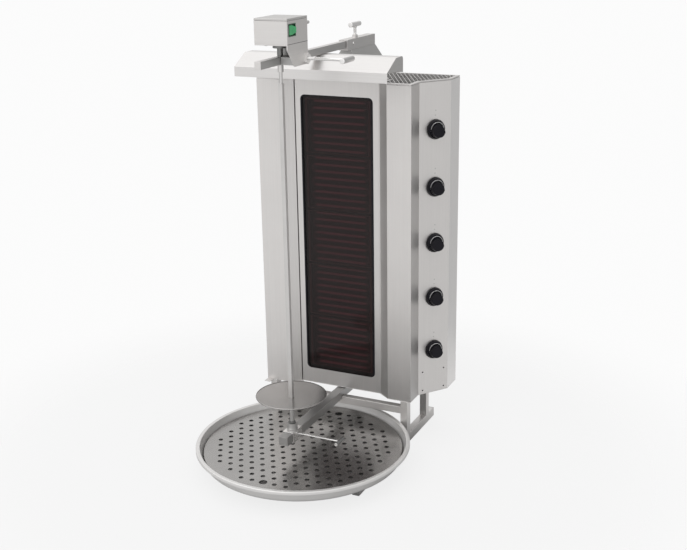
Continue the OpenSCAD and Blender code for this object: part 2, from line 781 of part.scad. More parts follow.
// Controls
bushing_r = spindle_d / 2 + 2 * tube_wall;
function knob_z(i) = leg_top + housing_h / 2 + knob_up + ((zones - 1) / 2 - i) * zone_pitch;

module regulators() color([0.9, 0.88, 0.82]) set_back() for (i = [0:zones - 1]) on_slant(knob_u, knob_z(i))
    difference() {
        union() {
            translate([-regulator_w / 2, -regulator_w / 2, -sheet_t - regulator_d])
                cube([regulator_w, regulator_w, regulator_d]);
            translate([0, 0, -sheet_t]) cylinder(r = bushing_r, h = sheet_t, $fn = small_fn);
        }
        translate([0, 0, -sheet_t - spindle_in - seat])
            cylinder(r = spindle_d / 2 + spindle_fit, h = spindle_in + 2 * sheet_t, $fn = small_fn);
    }

// A spindle turns in its regulator and carries the knob
module spindle(i) color(polished) set_back() on_slant(knob_u, knob_z(i)) translate([0, 0, -spindle_in])
    cylinder(r = spindle_d / 2, h = spindle_in + knob_gap + spindle_out, $fn = small_fn);

knob_turn = -35;
skirt_step = (knob_d - grip_d) / 4;
well_share = 0.8;
brim_share = 1.6;
module knob(i) color(black) set_back() on_slant(knob_u, knob_z(i)) rotate([0, 0, knob_turn])
    translate([0, 0, knob_gap]) difference() {
        union() {
            rotate_extrude($fn = round_fn) polygon([
                [0, 0], [knob_d / 2, 0], [knob_d / 2, skirt_h / 3], [knob_d / 2 - skirt_step, skirt_h],
                [knob_d / 2 - brim_share * skirt_step, skirt_h], [grip_d / 2, well_share * skirt_h],
                [0, well_share * skirt_h]
            ]);
            intersection() {
                cylinder(r1 = grip_d / 2, r2 = grip_d / 2 - skirt_step / 2, h = knob_h - knob_gap, $fn = round_fn);
                translate([0, 0, skirt_h / 2]) linear_extrude(knob_h - knob_gap - skirt_h / 2) polygon([
                    [grip_d / 2, -grip_w / 5], [grip_d / 2, grip_w / 5], [grip_d / 5, grip_w / 2],
                    [-grip_d / 2, grip_w / 2], [-grip_d / 2, -grip_w / 2], [grip_d / 5, -grip_w / 2]
                ]);
            }
        }
        translate([0, 0, -over]) cylinder(r = spindle_d / 2, h = spindle_out + over, $fn = small_fn);
    }

// Hood over the meat's top, folded from one sheet with two end plates
lip_z = top_z + lip_up;
ridge_z = top_z + ridge_up;
slope_top = -hood_front + slope_d;
hood_line = concat(
    [[-hood_back, top_z + hood_skirt_up]],
    arc([-hood_back - hood_r, ridge_z - hood_r], hood_r, 0, 90),
    [[slope_top, ridge_z - seat], [-hood_front, lip_z + lip_h], [-hood_front, lip_z]]
);
module hood() color(polished) set_back() {
    across(hood_w) polygon(folded(hood_line, sheet_t));
    for (side = [-1, 1]) translate([side * (hood_w - sheet_t) / 2, 0, 0]) across(sheet_t)
        polygon([for (i = [0:len(hood_line) - 2]) hood_line[i]]);
}

// Brackets that carry the hood from the top plate
bracket_top = top_z + hood_skirt_up + 2 * bracket_t + hood_r;
module hood_brackets() color(steel) set_back() for (side = [-1, 1]) translate([side * bracket_x, 0, 0])
    difference() {
        across(bracket_w) polygon(folded([
            [foot_end - mesh_web, top_z], [recess_d + 2 * mesh_web, top_z],
            [recess_d + 2 * mesh_web, bracket_top], [bracket_t - hood_back, bracket_top],
            [bracket_t - hood_back, top_z + hood_skirt_up]
        ], -bracket_t));
        translate([0, foot_end - bracket_w / 3, top_z + bracket_t]) screw_hole();
    }

// Top arm, sleeve and stand
arm_z = top_z + arm_up;
arm_top = arm_z + arm_h;
sleeve_top = arm_top + arm_gap + sleeve_wall;
sleeve_z = sleeve_top - sleeve_h;
stand_back = sleeve_back - stand_t;

// The sheet stand rises from its two feet to the sleeve and is closed in front
stand_line = [
    [-stand_half, top_z], [-sleeve_w / 2, sleeve_z - stand_t], [sleeve_w / 2, sleeve_z - stand_t], [stand_half, top_z]
];
module sleeve_stand() color(dark_steel) set_back() difference() {
    union() {
        rearward(stand_front, stand_back) polygon(folded(concat(
            [[-stand_half - stand_foot, top_z]], stand_line, [[stand_half + stand_foot, top_z]]
        ), stand_t));
        rearward(stand_front, stand_front + stand_t) polygon(stand_line);
    }
    both_sides() translate([stand_half + stand_t, back_y, top_z - over])
        cube([2 * stand_foot, sleeve_back, stand_t + 2 * over]);
    for (side = [-1, 1], y = stand_rows)
        translate([side * (stand_half + stand_foot / 2), y, top_z + stand_t]) screw_hole();
}

// A short screw through the sleeve's right wall
sleeve_side = (sleeve_w - arm_w) / 2 - arm_gap;
module at_side_screw() {
    translate([sleeve_w / 2, (sleeve_front + sleeve_screw_y) / 2, arm_z + arm_h / 2]) rotate([0, 90, 0]) children();
}

module sleeve() color(steel) set_back() difference() {
    union() {
        translate([-sleeve_w / 2, sleeve_front, sleeve_z]) cube([sleeve_w, sleeve_back - sleeve_front, sleeve_h]);
        translate([0, sleeve_screw_y, sleeve_top]) cylinder(r = screw_d, h = nut_h, $fn = 6);
    }
    translate([-arm_w / 2 - arm_gap, sleeve_front - over, arm_z - arm_gap])
        cube([arm_w + 2 * arm_gap, sleeve_back - sleeve_front + 2 * over, arm_h + 2 * arm_gap]);
    translate([0, sleeve_screw_y, arm_top])
        cylinder(r = screw_d / 2 + thread_fit, h = sleeve_h + nut_h, $fn = small_fn);
    at_side_screw() translate([0, 0, -sleeve_side - over])
        cylinder(r = shank_d / 2 + shank_fit, h = sleeve_side + 2 * over, $fn = small_fn);
}

// A clamp screw stands along Z from its tip, with its cross handle along Y at its end
module clamp_screw(d, length, bar_d, bar_l) {
    cylinder(r = d / 2, h = length, $fn = small_fn);
    translate([0, -bar_l / 2, length]) rotate([-90, 0, 0]) rotate_extrude($fn = small_fn) polygon([
        [0, 0], [bar_d / 2 - bar_d / 8, 0], [bar_d / 2, bar_d / 8], [bar_d / 2, bar_l - bar_d / 8],
        [bar_d / 2 - bar_d / 8, bar_l], [0, bar_l]
    ]);
}

module sleeve_screw() color(polished) set_back() translate([0, sleeve_screw_y, arm_top + seat])
    clamp_screw(screw_d, sleeve_screw_h, handle_d, handle_l);

module top_arm() color(steel) set_back() difference() {
    union() {
        translate([-arm_w / 2, -arm_front, arm_z]) cube([arm_w, arm_front + arm_back, arm_h]);
        translate([0, -spit_y, arm_z - arm_bush_h]) cylinder(r = arm_bush_d / 2, h = arm_bush_h, $fn = small_fn);
    }
    translate([0, -spit_y, arm_z - arm_bush_h - over])
        cylinder(r = neck_d / 2 + spindle_fit, h = arm_bush_h + arm_h + 2 * over, $fn = small_fn);
}

// Motor head, held on the arm from the right
box_z = arm_top + box_up;
plate_z = box_z - plate_t;
box_front = -spit_y - box_ahead;
box_back = -spit_y + box_behind;
cheek_z = arm_z - cheek_drop;
block_x = box_w / 2 - plate_t;
block_back = box_back - plate_t;
block_mid = -spit_y + flange_d / 2 + plate_t;
motor_screw_y = block_back - screw_d;
motor_screw_z = arm_top - screw_d;

module motor_bracket() color(steel) set_back() difference() {
    union() {
        translate([-box_w / 2, box_front, plate_z]) cube([box_w, box_ahead + box_behind, plate_t]);
        translate([box_w / 2 - plate_t / 2, 0, 0]) across(plate_t) polygon([
            [box_front, plate_z], [box_front, plate_z - plate_t * 3], [box_front + cheek_chamfer, cheek_z],
            [box_back - 2 * plate_t, cheek_z], [box_back, cheek_z + 4 * plate_t], [box_back, plate_z]
        ]);
        translate([box_w / 2, motor_screw_y, motor_screw_z]) rotate([0, 90, 0])
            cylinder(r = motor_nut_d / 2, h = nut_h, $fn = 6);
    }
    translate([0, -spit_y, plate_z - over]) cylinder(r = drive_d / 2 + over, h = plate_t + 2 * over, $fn = small_fn);
    translate([0, motor_screw_y, motor_screw_z]) rotate([0, 90, 0])
        cylinder(r = screw_d / 2 + thread_fit, h = box_w, $fn = small_fn);
}

// The block rides on the arm: a saddle behind the coupling and a side guide beside it
saddle_lip = 5;
module guide_block() color(black) set_back() difference() {
    union() {
        translate([arm_w / 2 + arm_gap, block_mid - flange_d, arm_z])
            cube([block_x - arm_w / 2 - arm_gap, block_back - block_mid + flange_d, arm_h]);
        translate([-arm_w / 2 - arm_gap - saddle_lip, block_mid, arm_z + arm_h / 2])
            cube([block_x + arm_w / 2 + arm_gap + saddle_lip, block_back - block_mid, plate_z - arm_z - arm_h / 2]);
    }
    translate([-arm_w / 2 - arm_gap, block_mid - over, arm_z - over])
        cube([arm_w + 2 * arm_gap, block_back - block_mid + 2 * over, arm_h + over]);
    translate([0, motor_screw_y, motor_screw_z]) rotate([0, 90, 0])
        cylinder(r = screw_d / 2 + thread_fit, h = box_w, $fn = small_fn);
}

gear_h = 20;
motor_r = 19;
module gear_motor() color(dark_steel) set_back() difference() {
    union() {
        translate([-box_w / 2 + 3 * plate_t, box_front + 3 * plate_t, box_z])
            cube([box_w - 9 * plate_t, box_ahead + box_behind - 6 * plate_t, gear_h]);
        translate([-3 * plate_t, box_back - motor_r - 3 * plate_t, box_z + gear_h])
            cylinder(r = motor_r, h = box_h - gear_h - 2 * plate_t, $fn = small_fn);
    }
    translate([0, -spit_y, box_z - over])
        cylinder(r = drive_d / 2 + spindle_fit, h = gear_h - plate_t + over, $fn = small_fn);
}

switch_y = -spit_y - switch_ahead;
switch_z = box_z + box_h - switch_h / 2 - switch_drop;
switch_body = [switch_w - 2 * box_t, switch_h - 2 * box_t];
module motor_box() color(steel) set_back() difference() {
    translate([-box_w / 2, box_front, box_z]) cube([box_w, box_ahead + box_behind, box_h - lid_edge - seam]);
    translate([-box_w / 2 + box_t, box_front + box_t, box_z - over])
        cube([box_w - 2 * box_t, box_ahead + box_behind - 2 * box_t, box_h + 2 * over]);
    translate([box_w / 2 - 2 * box_t, switch_y - switch_body.x / 2, switch_z - switch_body.y / 2])
        cube([4 * box_t, switch_body.x, switch_body.y]);
    at_gland() cylinder(r = small_gland_r, h = 4 * box_t, center = true, $fn = small_fn);
}

module motor_lid() color(steel) set_back() difference() {
    translate([-box_w / 2, box_front, box_z + box_h - lid_edge]) cube([box_w, box_ahead + box_behind, lid_edge]);
    translate([-box_w / 2 + box_t, box_front + box_t, box_z + box_h - lid_edge - over])
        cube([box_w - 2 * box_t, box_ahead + box_behind - 2 * box_t, lid_edge + over - box_t]);
}

// Small cable gland on the motor box's back
small_gland_r = 4;
module at_gland() {
    translate([box_w / 2 - 2 * small_gland_r, box_back, box_z + box_h - lid_edge - 3 * small_gland_r])
        rotate([-90, 0, 0]) children();
}
module motor_gland() color(black) set_back() at_gland() difference() {
    union() {
        translate([0, 0, -box_t - small_gland_r])
            cylinder(r = small_gland_r - shank_fit, h = 2 * small_gland_r, $fn = small_fn);
        cylinder(r = 1.5 * small_gland_r, h = 2 * small_gland_r, $fn = 6);
        cylinder(r1 = 1.5 * small_gland_r, r2 = small_gland_r, h = 5 * small_gland_r, $fn = small_fn);
    }
    translate([0, 0, -3 * small_gland_r]) cylinder(r = small_gland_r / 2, h = 9 * small_gland_r, $fn = small_fn);
}

// Screws that hold the box's plate, seen from below
module head_screws() color(polished) set_back()
    for (x = [-box_w / 4, box_w / 4], y = [box_front + 2 * head_d, box_back - head_d])
        if (x < 0 || y < -spit_y) translate([x, y, plate_z]) rotate([180, 0, 0])
            cylinder(r = head_d / 2, h = head_h, $fn = 6);

pocket = [switch_body.x - 2 * box_t, switch_body.y - 2 * box_t];
switch_d = 16;
module switch_housing() color(black) set_back() translate([box_w / 2, switch_y, switch_z]) difference() {
    union() {
        translate([0, -switch_w / 2, -switch_h / 2]) cube([box_t, switch_w, switch_h]);
        translate([-switch_d, -switch_body.x / 2, -switch_body.y / 2]) cube([switch_d, switch_body.x, switch_body.y]);
    }
    translate([-switch_d + 2 * box_t, -pocket.x / 2, -pocket.y / 2]) cube([switch_d + over, pocket.x, pocket.y]);
}

// The rocker tilts about an upright pin in the housing
rocker_half = pocket.x / 2 - box_t;
rocker_deep = 3;
waist_share = 1.4;
pin_end = 0.8;
rocker_h = pocket.y - 2 * seat - 2 * pin_end;
module rocker() color(green) set_back() translate([box_w / 2 - rocker_deep, switch_y, switch_z])
    rotate([0, 0, -rocker_tilt]) {
        translate([0, 0, -rocker_h / 2]) linear_extrude(rocker_h) polygon([
            [-rocker_deep, -rocker_half + rocker_deep], [2 * rocker_deep, -rocker_half], [waist_share * rocker_deep, 0],
            [2 * rocker_deep, rocker_half], [-rocker_deep, rocker_half - rocker_deep], [-2 * rocker_deep, 0]
        ]);
        translate([0, 0, -rocker_h / 2 - pin_end]) cylinder(r = rocker_deep, h = rocker_h + 2 * pin_end, $fn = small_fn);
    }

module motor_screw() color(polished) set_back()
    translate([arm_w / 2 + seat, motor_screw_y, motor_screw_z]) rotate([0, 90, 0])
        clamp_screw(screw_d, box_w / 2 - arm_w / 2 + motor_screw_l, handle_d, handle_l);

// The coupling hangs from the gear motor and takes the spit's square tip
coupling_z = arm_top + over;
tip_z = coupling_z - seat;
flange_z = plate_z - 3 * plate_t;
module drive_coupling() color(dark_steel) set_back() translate([0, -spit_y, 0]) difference() {
    union() {
        translate([0, 0, coupling_z]) cylinder(r = coupling_d / 2, h = flange_z - coupling_z, $fn = small_fn);
        translate([0, 0, flange_z]) cylinder(r = flange_d / 2, h = 2 * plate_t, $fn = round_fn);
        translate([0, 0, flange_z]) cylinder(r = drive_d / 2, h = box_z + gear_h - 2 * plate_t - flange_z,
            $fn = small_fn);
    }
    translate([-tip_w / 2 - seat, -tip_w / 2 - seat, coupling_z - over])
        cube([tip_w + 2 * seat, tip_w + 2 * seat, tip_l + 3 * over]);
}

// Spit
slider_top = low_arm_top + slider_gap + slider_wall;
cup_floor = slider_top + slider_wall;
neck_z = arm_z - arm_bush_h - neck_below;
dish_z = disc_z - disc_dip;
module spit_bar() color(polished) set_back() translate([0, -spit_y, 0]) {
    translate([0, 0, cup_floor + seat]) cylinder(r = spit_foot_d / 2, h = dish_z - cup_floor - seat, $fn = small_fn);
    translate([-spit_w / 2, -spit_w / 2, dish_z]) cube([spit_w, spit_w, neck_z - dish_z]);
    translate([0, 0, neck_z]) cylinder(r = neck_d / 2, h = tip_z - neck_z, $fn = small_fn);
    translate([-tip_w / 2, -tip_w / 2, tip_z]) cube([tip_w, tip_w, tip_l]);
}

// A shallow dish, flat where it lies on its collar
dish_r = (disc_r * disc_r + disc_dip * disc_dip) / (2 * disc_dip);
function dish_at(r) = dish_z + dish_r - sqrt(dish_r * dish_r - r * r);
module meat_disc() color(polished) set_back() translate([0, -spit_y, 0]) difference() {
    rotate_extrude($fn = round_fn) polygon(concat(
        [for (i = [0:dish_steps]) let (r = disc_r * i / dish_steps) [r, dish_at(r)]],
        [for (i = [dish_steps:-1:0]) let (r = disc_r * i / dish_steps) [r, dish_at(r) + disc_t]]
    ));
    translate([-spit_w / 2 - seat / 3, -spit_w / 2 - seat / 3, dish_z - over])
        cube([spit_w + 2 * seat / 3, spit_w + 2 * seat / 3, 2 * over + disc_t]);
}

module disc_collar() color(dark_steel) set_back() translate([0, -spit_y, dish_z - collar_h]) difference() {
    cylinder(r = collar_d / 2, h = collar_h, $fn = small_fn);
    translate([0, 0, -over]) cylinder(r = spit_foot_d / 2 + shank_fit, h = collar_h + 2 * over, $fn = small_fn);
}

// Foot carriage
slider_w = low_arm_w + 2 * slider_gap + 2 * slider_wall;
slider_h = low_arm_h + 2 * slider_gap + 2 * slider_wall;
foot_screw_z = low_arm_top - low_arm_h / 3;
module foot_slider() color(polished) set_back() translate([0, -spit_y, slider_top - slider_h]) difference() {
    union() {
        translate([-slider_w / 2, -slider_l / 2, 0]) cube([slider_w, slider_l, slider_h]);
        translate([slider_w / 2, 0, foot_screw_z - slider_top + slider_h]) rotate([0, 90, 0])
            cylinder(r = foot_screw_d, h = nut_h - slider_wall, $fn = 6);
    }
    translate([-slider_w / 2 + slider_wall, -slider_l / 2 - over, slider_wall])
        cube([slider_w - 2 * slider_wall, slider_l + 2 * over, slider_h - 2 * slider_wall]);
    translate([0, 0, foot_screw_z - slider_top + slider_h]) rotate([0, 90, 0])
        cylinder(r = foot_screw_d / 2 + thread_fit, h = slider_w, $fn = small_fn);
}

module foot_cup() color(polished) set_back() translate([0, -spit_y, slider_top]) difference() {
    cylinder(r = cup_d / 2, h = cup_h, $fn = small_fn);
    translate([0, 0, slider_wall]) cylinder(r = foot_bush_d / 2, h = cup_h, $fn = small_fn);
}

module foot_bush() color(black) set_back() translate([0, -spit_y, cup_floor]) difference() {
    union() {
        cylinder(r = foot_bush_d / 2, h = cup_h - slider_wall, $fn = small_fn);
        cylinder(r = bush_collar_d / 2, h = cup_h - slider_wall + bush_collar_h, $fn = small_fn);
    }
    translate([0, 0, -over]) cylinder(r = spit_foot_d / 2 + spindle_fit, h = 2 * cup_h, $fn = small_fn);
}

module foot_screw() color(polished) set_back() translate([low_arm_w / 2 + seat, -spit_y, foot_screw_z])
    rotate([0, 90, 0]) clamp_screw(foot_screw_d, foot_screw_l, foot_handle_d, foot_handle_l);

// Drip tray: one turned profile, floor, round corner, leaning wall, flat rim and folded edge
tray_z = rail_h + tray_gap;
tray_in = tray_r - tray_rim;
module drip_tray() color(steel) set_back() translate([0, -tray_y, tray_z]) rotate_extrude($fn = round_fn)
    polygon(concat(
        [[0, 0]],
        arc([tray_in - tray_lean - tray_corner, tray_corner], tray_corner, -90, 0),
        [[tray_in - tray_t / 2, tray_h - tray_t], [tray_r - tray_t, tray_h - tray_t],
            [tray_r - tray_t, tray_h - tray_edge], [tray_r, tray_h - tray_edge], [tray_r, tray_h],
            [tray_in - tray_t, tray_h]],
        arc([tray_in - tray_lean - tray_corner, tray_corner], tray_corner - tray_t, 0, -90),
        [[0, tray_t]]
    ));

// Perforated plate: drain holes on a triangular lattice, and two finger holes
sieve_r = tray_in - tray_lean - tray_t - sieve_gap;
sieve_z = tray_z + tray_t + sieve_up;
row_step = hole_pitch * sin(60);
hole_field = sieve_r - hole_border;
rows = floor(hole_field / row_step);
finger_rows = 8;
finger_y = finger_rows * row_step;
leg_count = 4;
sieve_leg_w = 14;
module perforated_plate() color(steel) set_back() translate([0, -tray_y, sieve_z - sieve_t]) {
    linear_extrude(sieve_t) difference() {
        circle(sieve_r, $fn = 2 * round_fn);
        for (j = [-rows:rows], i = [-rows:rows])
            let (x = (i + (abs(j) % 2) / 2) * hole_pitch, y = j * row_step)
                if (norm([x, y]) < hole_field && !(abs(x) < hole_pitch / 4 && abs(y) > finger_y - over))
                    translate([x, y]) circle(hole_d / 2, $fn = small_fn);
        for (side = [-1, 1]) translate([0, side * finger_y]) circle(finger_d / 2, $fn = small_fn);
    }
    translate([0, 0, sieve_t - sieve_edge]) linear_extrude(sieve_edge - sieve_t) difference() {
        circle(sieve_r, $fn = 2 * round_fn);
        circle(sieve_r - sieve_t, $fn = 2 * round_fn);
    }
    for (i = [0:leg_count - 1]) rotate([0, 0, (i + 0.5) * 360 / leg_count])
        translate([hole_field + hole_d, -sieve_leg_w / 2, sieve_t - sieve_up + seat])
            cube([sieve_t, sieve_leg_w, sieve_up - sieve_t - seat]);
}

base_frame();
rail_plugs();
lower_arm();
bottom_plate();
back_panel();
side_panel_left();
side_panel_right();
control_panel();
column_left();
column_right();
burner_front();
ceramic_glass();
glass_seal();
heater_rails();
heater_trays();
heating_ribbons();
insulation_board();
regulators();
terminal_block();
cable_gland();
top_plate();
panel_screws();
hood();
hood_brackets();
sleeve_stand();
sleeve();
sleeve_screw();
top_arm();
motor_bracket();
guide_block();
gear_motor();
motor_box();
motor_lid();
motor_gland();
head_screws();
switch_housing();
rocker();
motor_screw();
drive_coupling();
spit_bar();
meat_disc();
disc_collar();
foot_slider();
foot_cup();
foot_bush();
foot_screw();
drip_tray();
perforated_plate();
knob(0);  // knob_1
knob(1);  // knob_2
knob(2);  // knob_3
knob(3);  // knob_4
knob(4);  // knob_5
spindle(0);  // spindle_1
spindle(1);  // spindle_2
spindle(2);  // spindle_3
spindle(3);  // spindle_4
spindle(4);  // spindle_5
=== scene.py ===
import math

import bmesh
import bpy
from mathutils import Matrix, Vector, geometry
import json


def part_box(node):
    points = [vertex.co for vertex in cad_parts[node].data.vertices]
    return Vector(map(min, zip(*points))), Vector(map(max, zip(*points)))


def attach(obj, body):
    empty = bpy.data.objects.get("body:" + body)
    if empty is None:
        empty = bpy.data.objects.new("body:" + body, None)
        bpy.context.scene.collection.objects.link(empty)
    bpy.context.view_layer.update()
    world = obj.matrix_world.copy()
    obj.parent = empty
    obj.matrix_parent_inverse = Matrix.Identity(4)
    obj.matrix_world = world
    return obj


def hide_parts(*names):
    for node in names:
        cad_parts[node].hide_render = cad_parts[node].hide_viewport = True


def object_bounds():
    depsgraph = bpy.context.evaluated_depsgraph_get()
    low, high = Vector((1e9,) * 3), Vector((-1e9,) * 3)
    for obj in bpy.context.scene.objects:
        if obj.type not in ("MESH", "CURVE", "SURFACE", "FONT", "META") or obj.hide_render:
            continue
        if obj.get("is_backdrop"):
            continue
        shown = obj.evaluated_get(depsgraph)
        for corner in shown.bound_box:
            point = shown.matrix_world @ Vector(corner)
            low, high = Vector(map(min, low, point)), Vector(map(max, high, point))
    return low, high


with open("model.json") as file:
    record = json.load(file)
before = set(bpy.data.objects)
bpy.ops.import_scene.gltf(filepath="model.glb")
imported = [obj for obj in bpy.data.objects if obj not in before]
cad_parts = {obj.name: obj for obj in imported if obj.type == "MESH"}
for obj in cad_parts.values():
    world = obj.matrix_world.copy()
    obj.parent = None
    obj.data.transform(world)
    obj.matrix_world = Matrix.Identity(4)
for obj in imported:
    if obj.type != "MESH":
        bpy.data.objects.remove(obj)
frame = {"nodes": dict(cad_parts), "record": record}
nodes = frame["nodes"]
cadLow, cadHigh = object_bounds()
homes = {name: body for body, members in frame["record"]["behaviour"]["bodies"].items() for name in members}
print("stage: frame loaded,", len(nodes), "nodes")


# A socket in a node graph that combines with numbers and other sockets
class Value:
    def __init__(self, graph, socket):
        self.graph = graph
        self.socket = socket

    def __add__(self, other):
        return self.graph.maths("ADD", self, other)

    def __sub__(self, other):
        return self.graph.maths("SUBTRACT", self, other)

    def __rsub__(self, other):
        return self.graph.maths("SUBTRACT", other, self)

    def __mul__(self, other):
        return self.graph.maths("MULTIPLY", self, other)

    __radd__ = __add__
    __rmul__ = __mul__

    def clamped(self):
        return self.graph.maths("ADD", self, 0, clamp=True)


class Graph:
    def __init__(self, tree):
        self.tree = tree

    def feed(self, socket, value):
        if isinstance(value, Value):
            self.tree.links.new(value.socket, socket)
        elif value is not None:
            socket.default_value = value

    # Adds any node: settings as attributes, then inputs by name or number
    def node(self, kind, inputs, output=0, **settings):
        made = self.tree.nodes.new(kind if "Node" in kind else "ShaderNode" + kind)
        for key, value in settings.items():
            setattr(made, key, value)
        for key, value in inputs.items():
            self.feed(made.inputs[key], value)
        return Value(self, made.outputs[output]) if made.outputs else None

    def maths(self, operation, a, b=None, clamp=False):
        return self.node("Math", {0: a, 1: b}, operation=operation, use_clamp=clamp)

    def vector(self, operation, a, b=None, output=0):
        return self.node("VectorMath", {0: a, 1: b}, output, operation=operation)

    def where(self, stretch=(1, 1, 1), kind="Object"):
        return self.vector("MULTIPLY", self.node("TexCoord", {}, kind), stretch)

    def axis(self, name):
        return self.node("SeparateXYZ", {0: self.where()}, name)

    # Distance from an upright line through the centre
    def radius(self, centre=(0, 0, 0)):
        flat = self.vector("MULTIPLY", self.vector("SUBTRACT", self.where(), centre), (1, 1, 0))
        return self.vector("LENGTH", flat, output="Value")

    def noise(self, place, scale, detail=3.0, rough=0.55):
        return self.node("TexNoise", {"Vector": place, "Scale": scale, "Detail": detail, "Roughness": rough})

    def colour(self, factor, a, b):
        wide = [value if isinstance(value, Value) else (*value, 1) for value in (a, b)]
        return self.node("Mix", {0: factor, 6: wide[0], 7: wide[1]}, 2, data_type="RGBA", clamp_factor=False)

    def ramp(self, value, low, high):
        return self.node("MapRange", {"Value": value, 1: low, 2: high}, interpolation_type="SMOOTHSTEP")


finish = {}  # every material by its name


class Shader(Graph):
    def __init__(self, name, **fixed):
        self.material = finish[name] = bpy.data.materials.new(name)
        self.material.use_nodes = True
        super().__init__(self.material.node_tree)
        self.surface = self.tree.nodes["Principled BSDF"]
        for key, value in fixed.items():
            self.set(key.replace("_", " "), value)

    def set(self, name, value):
        if name in ("Base Color", "Emission Color") and not isinstance(value, Value):
            value = (*value, 1)
        self.feed(self.surface.inputs[name], value)

    def bump(self, height, strength, distance):
        self.set("Normal", self.node("Bump", {"Height": height, "Strength": strength, "Distance": distance}))


# A Geometry Nodes tree with named inputs that ends in real faces of one finish
class Group(Graph):
    def __init__(self, name, kinds):
        super().__init__(bpy.data.node_groups.new(name, "GeometryNodeTree"))
        for label, kind in {**kinds, "Finish": "Material"}.items():
            self.tree.interface.new_socket(label, in_out="INPUT", socket_type="NodeSocket" + kind)
        self.tree.interface.new_socket("Result", in_out="OUTPUT", socket_type="NodeSocketGeometry")
        sockets = self.tree.nodes.new("NodeGroupInput").outputs
        self.entry = {socket.name: Value(self, socket) for socket in sockets}

    def finished(self, shape):
        real = self.node("GeometryNodeRealizeInstances", {0: shape})
        inputs = {"Geometry": real, "Material": self.entry["Finish"]}
        self.node("NodeGroupOutput", {0: self.node("GeometryNodeSetMaterial", inputs)})
        return self.tree


# Sheet steel with a fine grain along one axis, cloudy smudges and a few longer scratches; some copies also
# darken towards the bottom as painted shade
steelLook = {
    "metal": 0.9, "coarse": 9.0, "fine": 1500.0, "wideShare": 0.22, "scratchShare": 0.4, "cloudScale": 11.0,
    "dark": (0.56, 0.545, 0.535), "light": (0.72, 0.70, 0.685), "rough": 0.4, "roughSpread": 0.16,
    "bump": 0.1, "bumpDepth": 0.00004, "film": 0.0, "filmLow": 0.1, "filmHigh": 0.42,
}


def brushedSteel(name, grain, **changes):
    look = {**steelLook, **changes}
    s = Shader(name, Metallic=look["metal"])
    stretch = Vector([look["coarse"] if axis == grain else look["fine"] for axis in "XYZ"])
    streaks = s.noise(s.where(stretch), 1.0, 4.0, 0.6)
    wide = s.noise(s.where(stretch * look["wideShare"]), 1.0, 2.0)
    cloud = s.noise(s.where(), look["cloudScale"])
    scratch = s.ramp(s.noise(s.where(stretch * look["scratchShare"]), 1.0, 1.0), 0.66, 0.72)
    tone = (streaks * 0.55 + wide * 0.3 + cloud * 0.35 - 0.1).clamped()
    if look["film"]:  # painted shade: the lower part is darker, for the darker reflections near the tray
        tone = tone - (1 - s.ramp(s.axis("Z"), look["filmLow"], look["filmHigh"])) * look["film"]
    s.set("Base Color", s.colour(tone, look["dark"], look["light"]))
    rough = (streaks - 0.5) * look["roughSpread"] + (cloud - 0.5) * 0.12 + scratch * 0.05 + look["rough"]
    s.set("Roughness", rough)
    s.bump(streaks + scratch * 0.5, look["bump"], look["bumpDepth"])


for name, grain in (("steelUp", "Z"), ("steelAcross", "X"), ("steelDeep", "Y")):
    brushedSteel(name, grain)
brushedSteel("burnerSteel", "Z", film=1.2, dark=(0.54, 0.525, 0.515), light=(0.68, 0.66, 0.645))
# A darker copy for the flare faces turned to the left: painted shade
brushedSteel("flareSteel", "Z", film=0.7, dark=(0.44, 0.43, 0.42), light=(0.58, 0.565, 0.55))
brushedSteel("hoodSteel", "X", dark=(0.58, 0.565, 0.555), light=(0.73, 0.715, 0.705), rough=0.33,
             roughSpread=0.1)
# A lighter copy for the panel faces turned to the right: painted light
brushedSteel("brightSteel", "Z", dark=(0.73, 0.715, 0.705), light=(0.88, 0.87, 0.86))
brushedSteel("shadeSteel", "Y", dark=(0.44, 0.43, 0.42), light=(0.57, 0.56, 0.55))
brushedSteel("lidSteel", "X", dark=(0.48, 0.47, 0.46), light=(0.62, 0.605, 0.59))
brushedSteel("darkSteel", "Y", dark=(0.36, 0.355, 0.35), light=(0.48, 0.475, 0.465), rough=0.45)
brushedSteel("armSteel", "Y", dark=(0.34, 0.335, 0.33), light=(0.45, 0.445, 0.44), rough=0.34)


# Polished or cast metal: its grain is too fine to see, so only soft clouds remain
def polishedSteel(name, cloudScale, dark, light, rough, metal=0.95):
    s = Shader(name, Metallic=metal)
    cloud = s.noise(s.where(), cloudScale, 4.0)
    fine = s.noise(s.where((900, 900, 900)), 1.0, 2.0)
    s.set("Base Color", s.colour(cloud, dark, light))
    s.set("Roughness", (cloud - 0.5) * 0.1 + (fine - 0.5) * 0.06 + rough)
    s.bump(fine, 0.05, 0.00003)


polishedSteel("polished", 18.0, (0.7, 0.69, 0.68), (0.82, 0.81, 0.8), rough=0.26)
polishedSteel("castMetal", 60.0, (0.16, 0.16, 0.16), (0.28, 0.28, 0.27), rough=0.4)
polishedSteel("traySteel", 14.0, (0.6, 0.59, 0.58), (0.72, 0.71, 0.7), rough=0.36, metal=0.55)
polishedSteel("sieveSteel", 14.0, (0.34, 0.33, 0.32), (0.43, 0.42, 0.41), rough=0.26)
polishedSteel("spitSteel", 16.0, (0.5, 0.49, 0.48), (0.64, 0.63, 0.62), rough=0.36)
polishedSteel("footSteel", 40.0, (0.4, 0.395, 0.39), (0.54, 0.53, 0.52), rough=0.38)
polishedSteel("ringMetal", 80.0, (0.7, 0.7, 0.7), (0.85, 0.85, 0.85), rough=0.3)


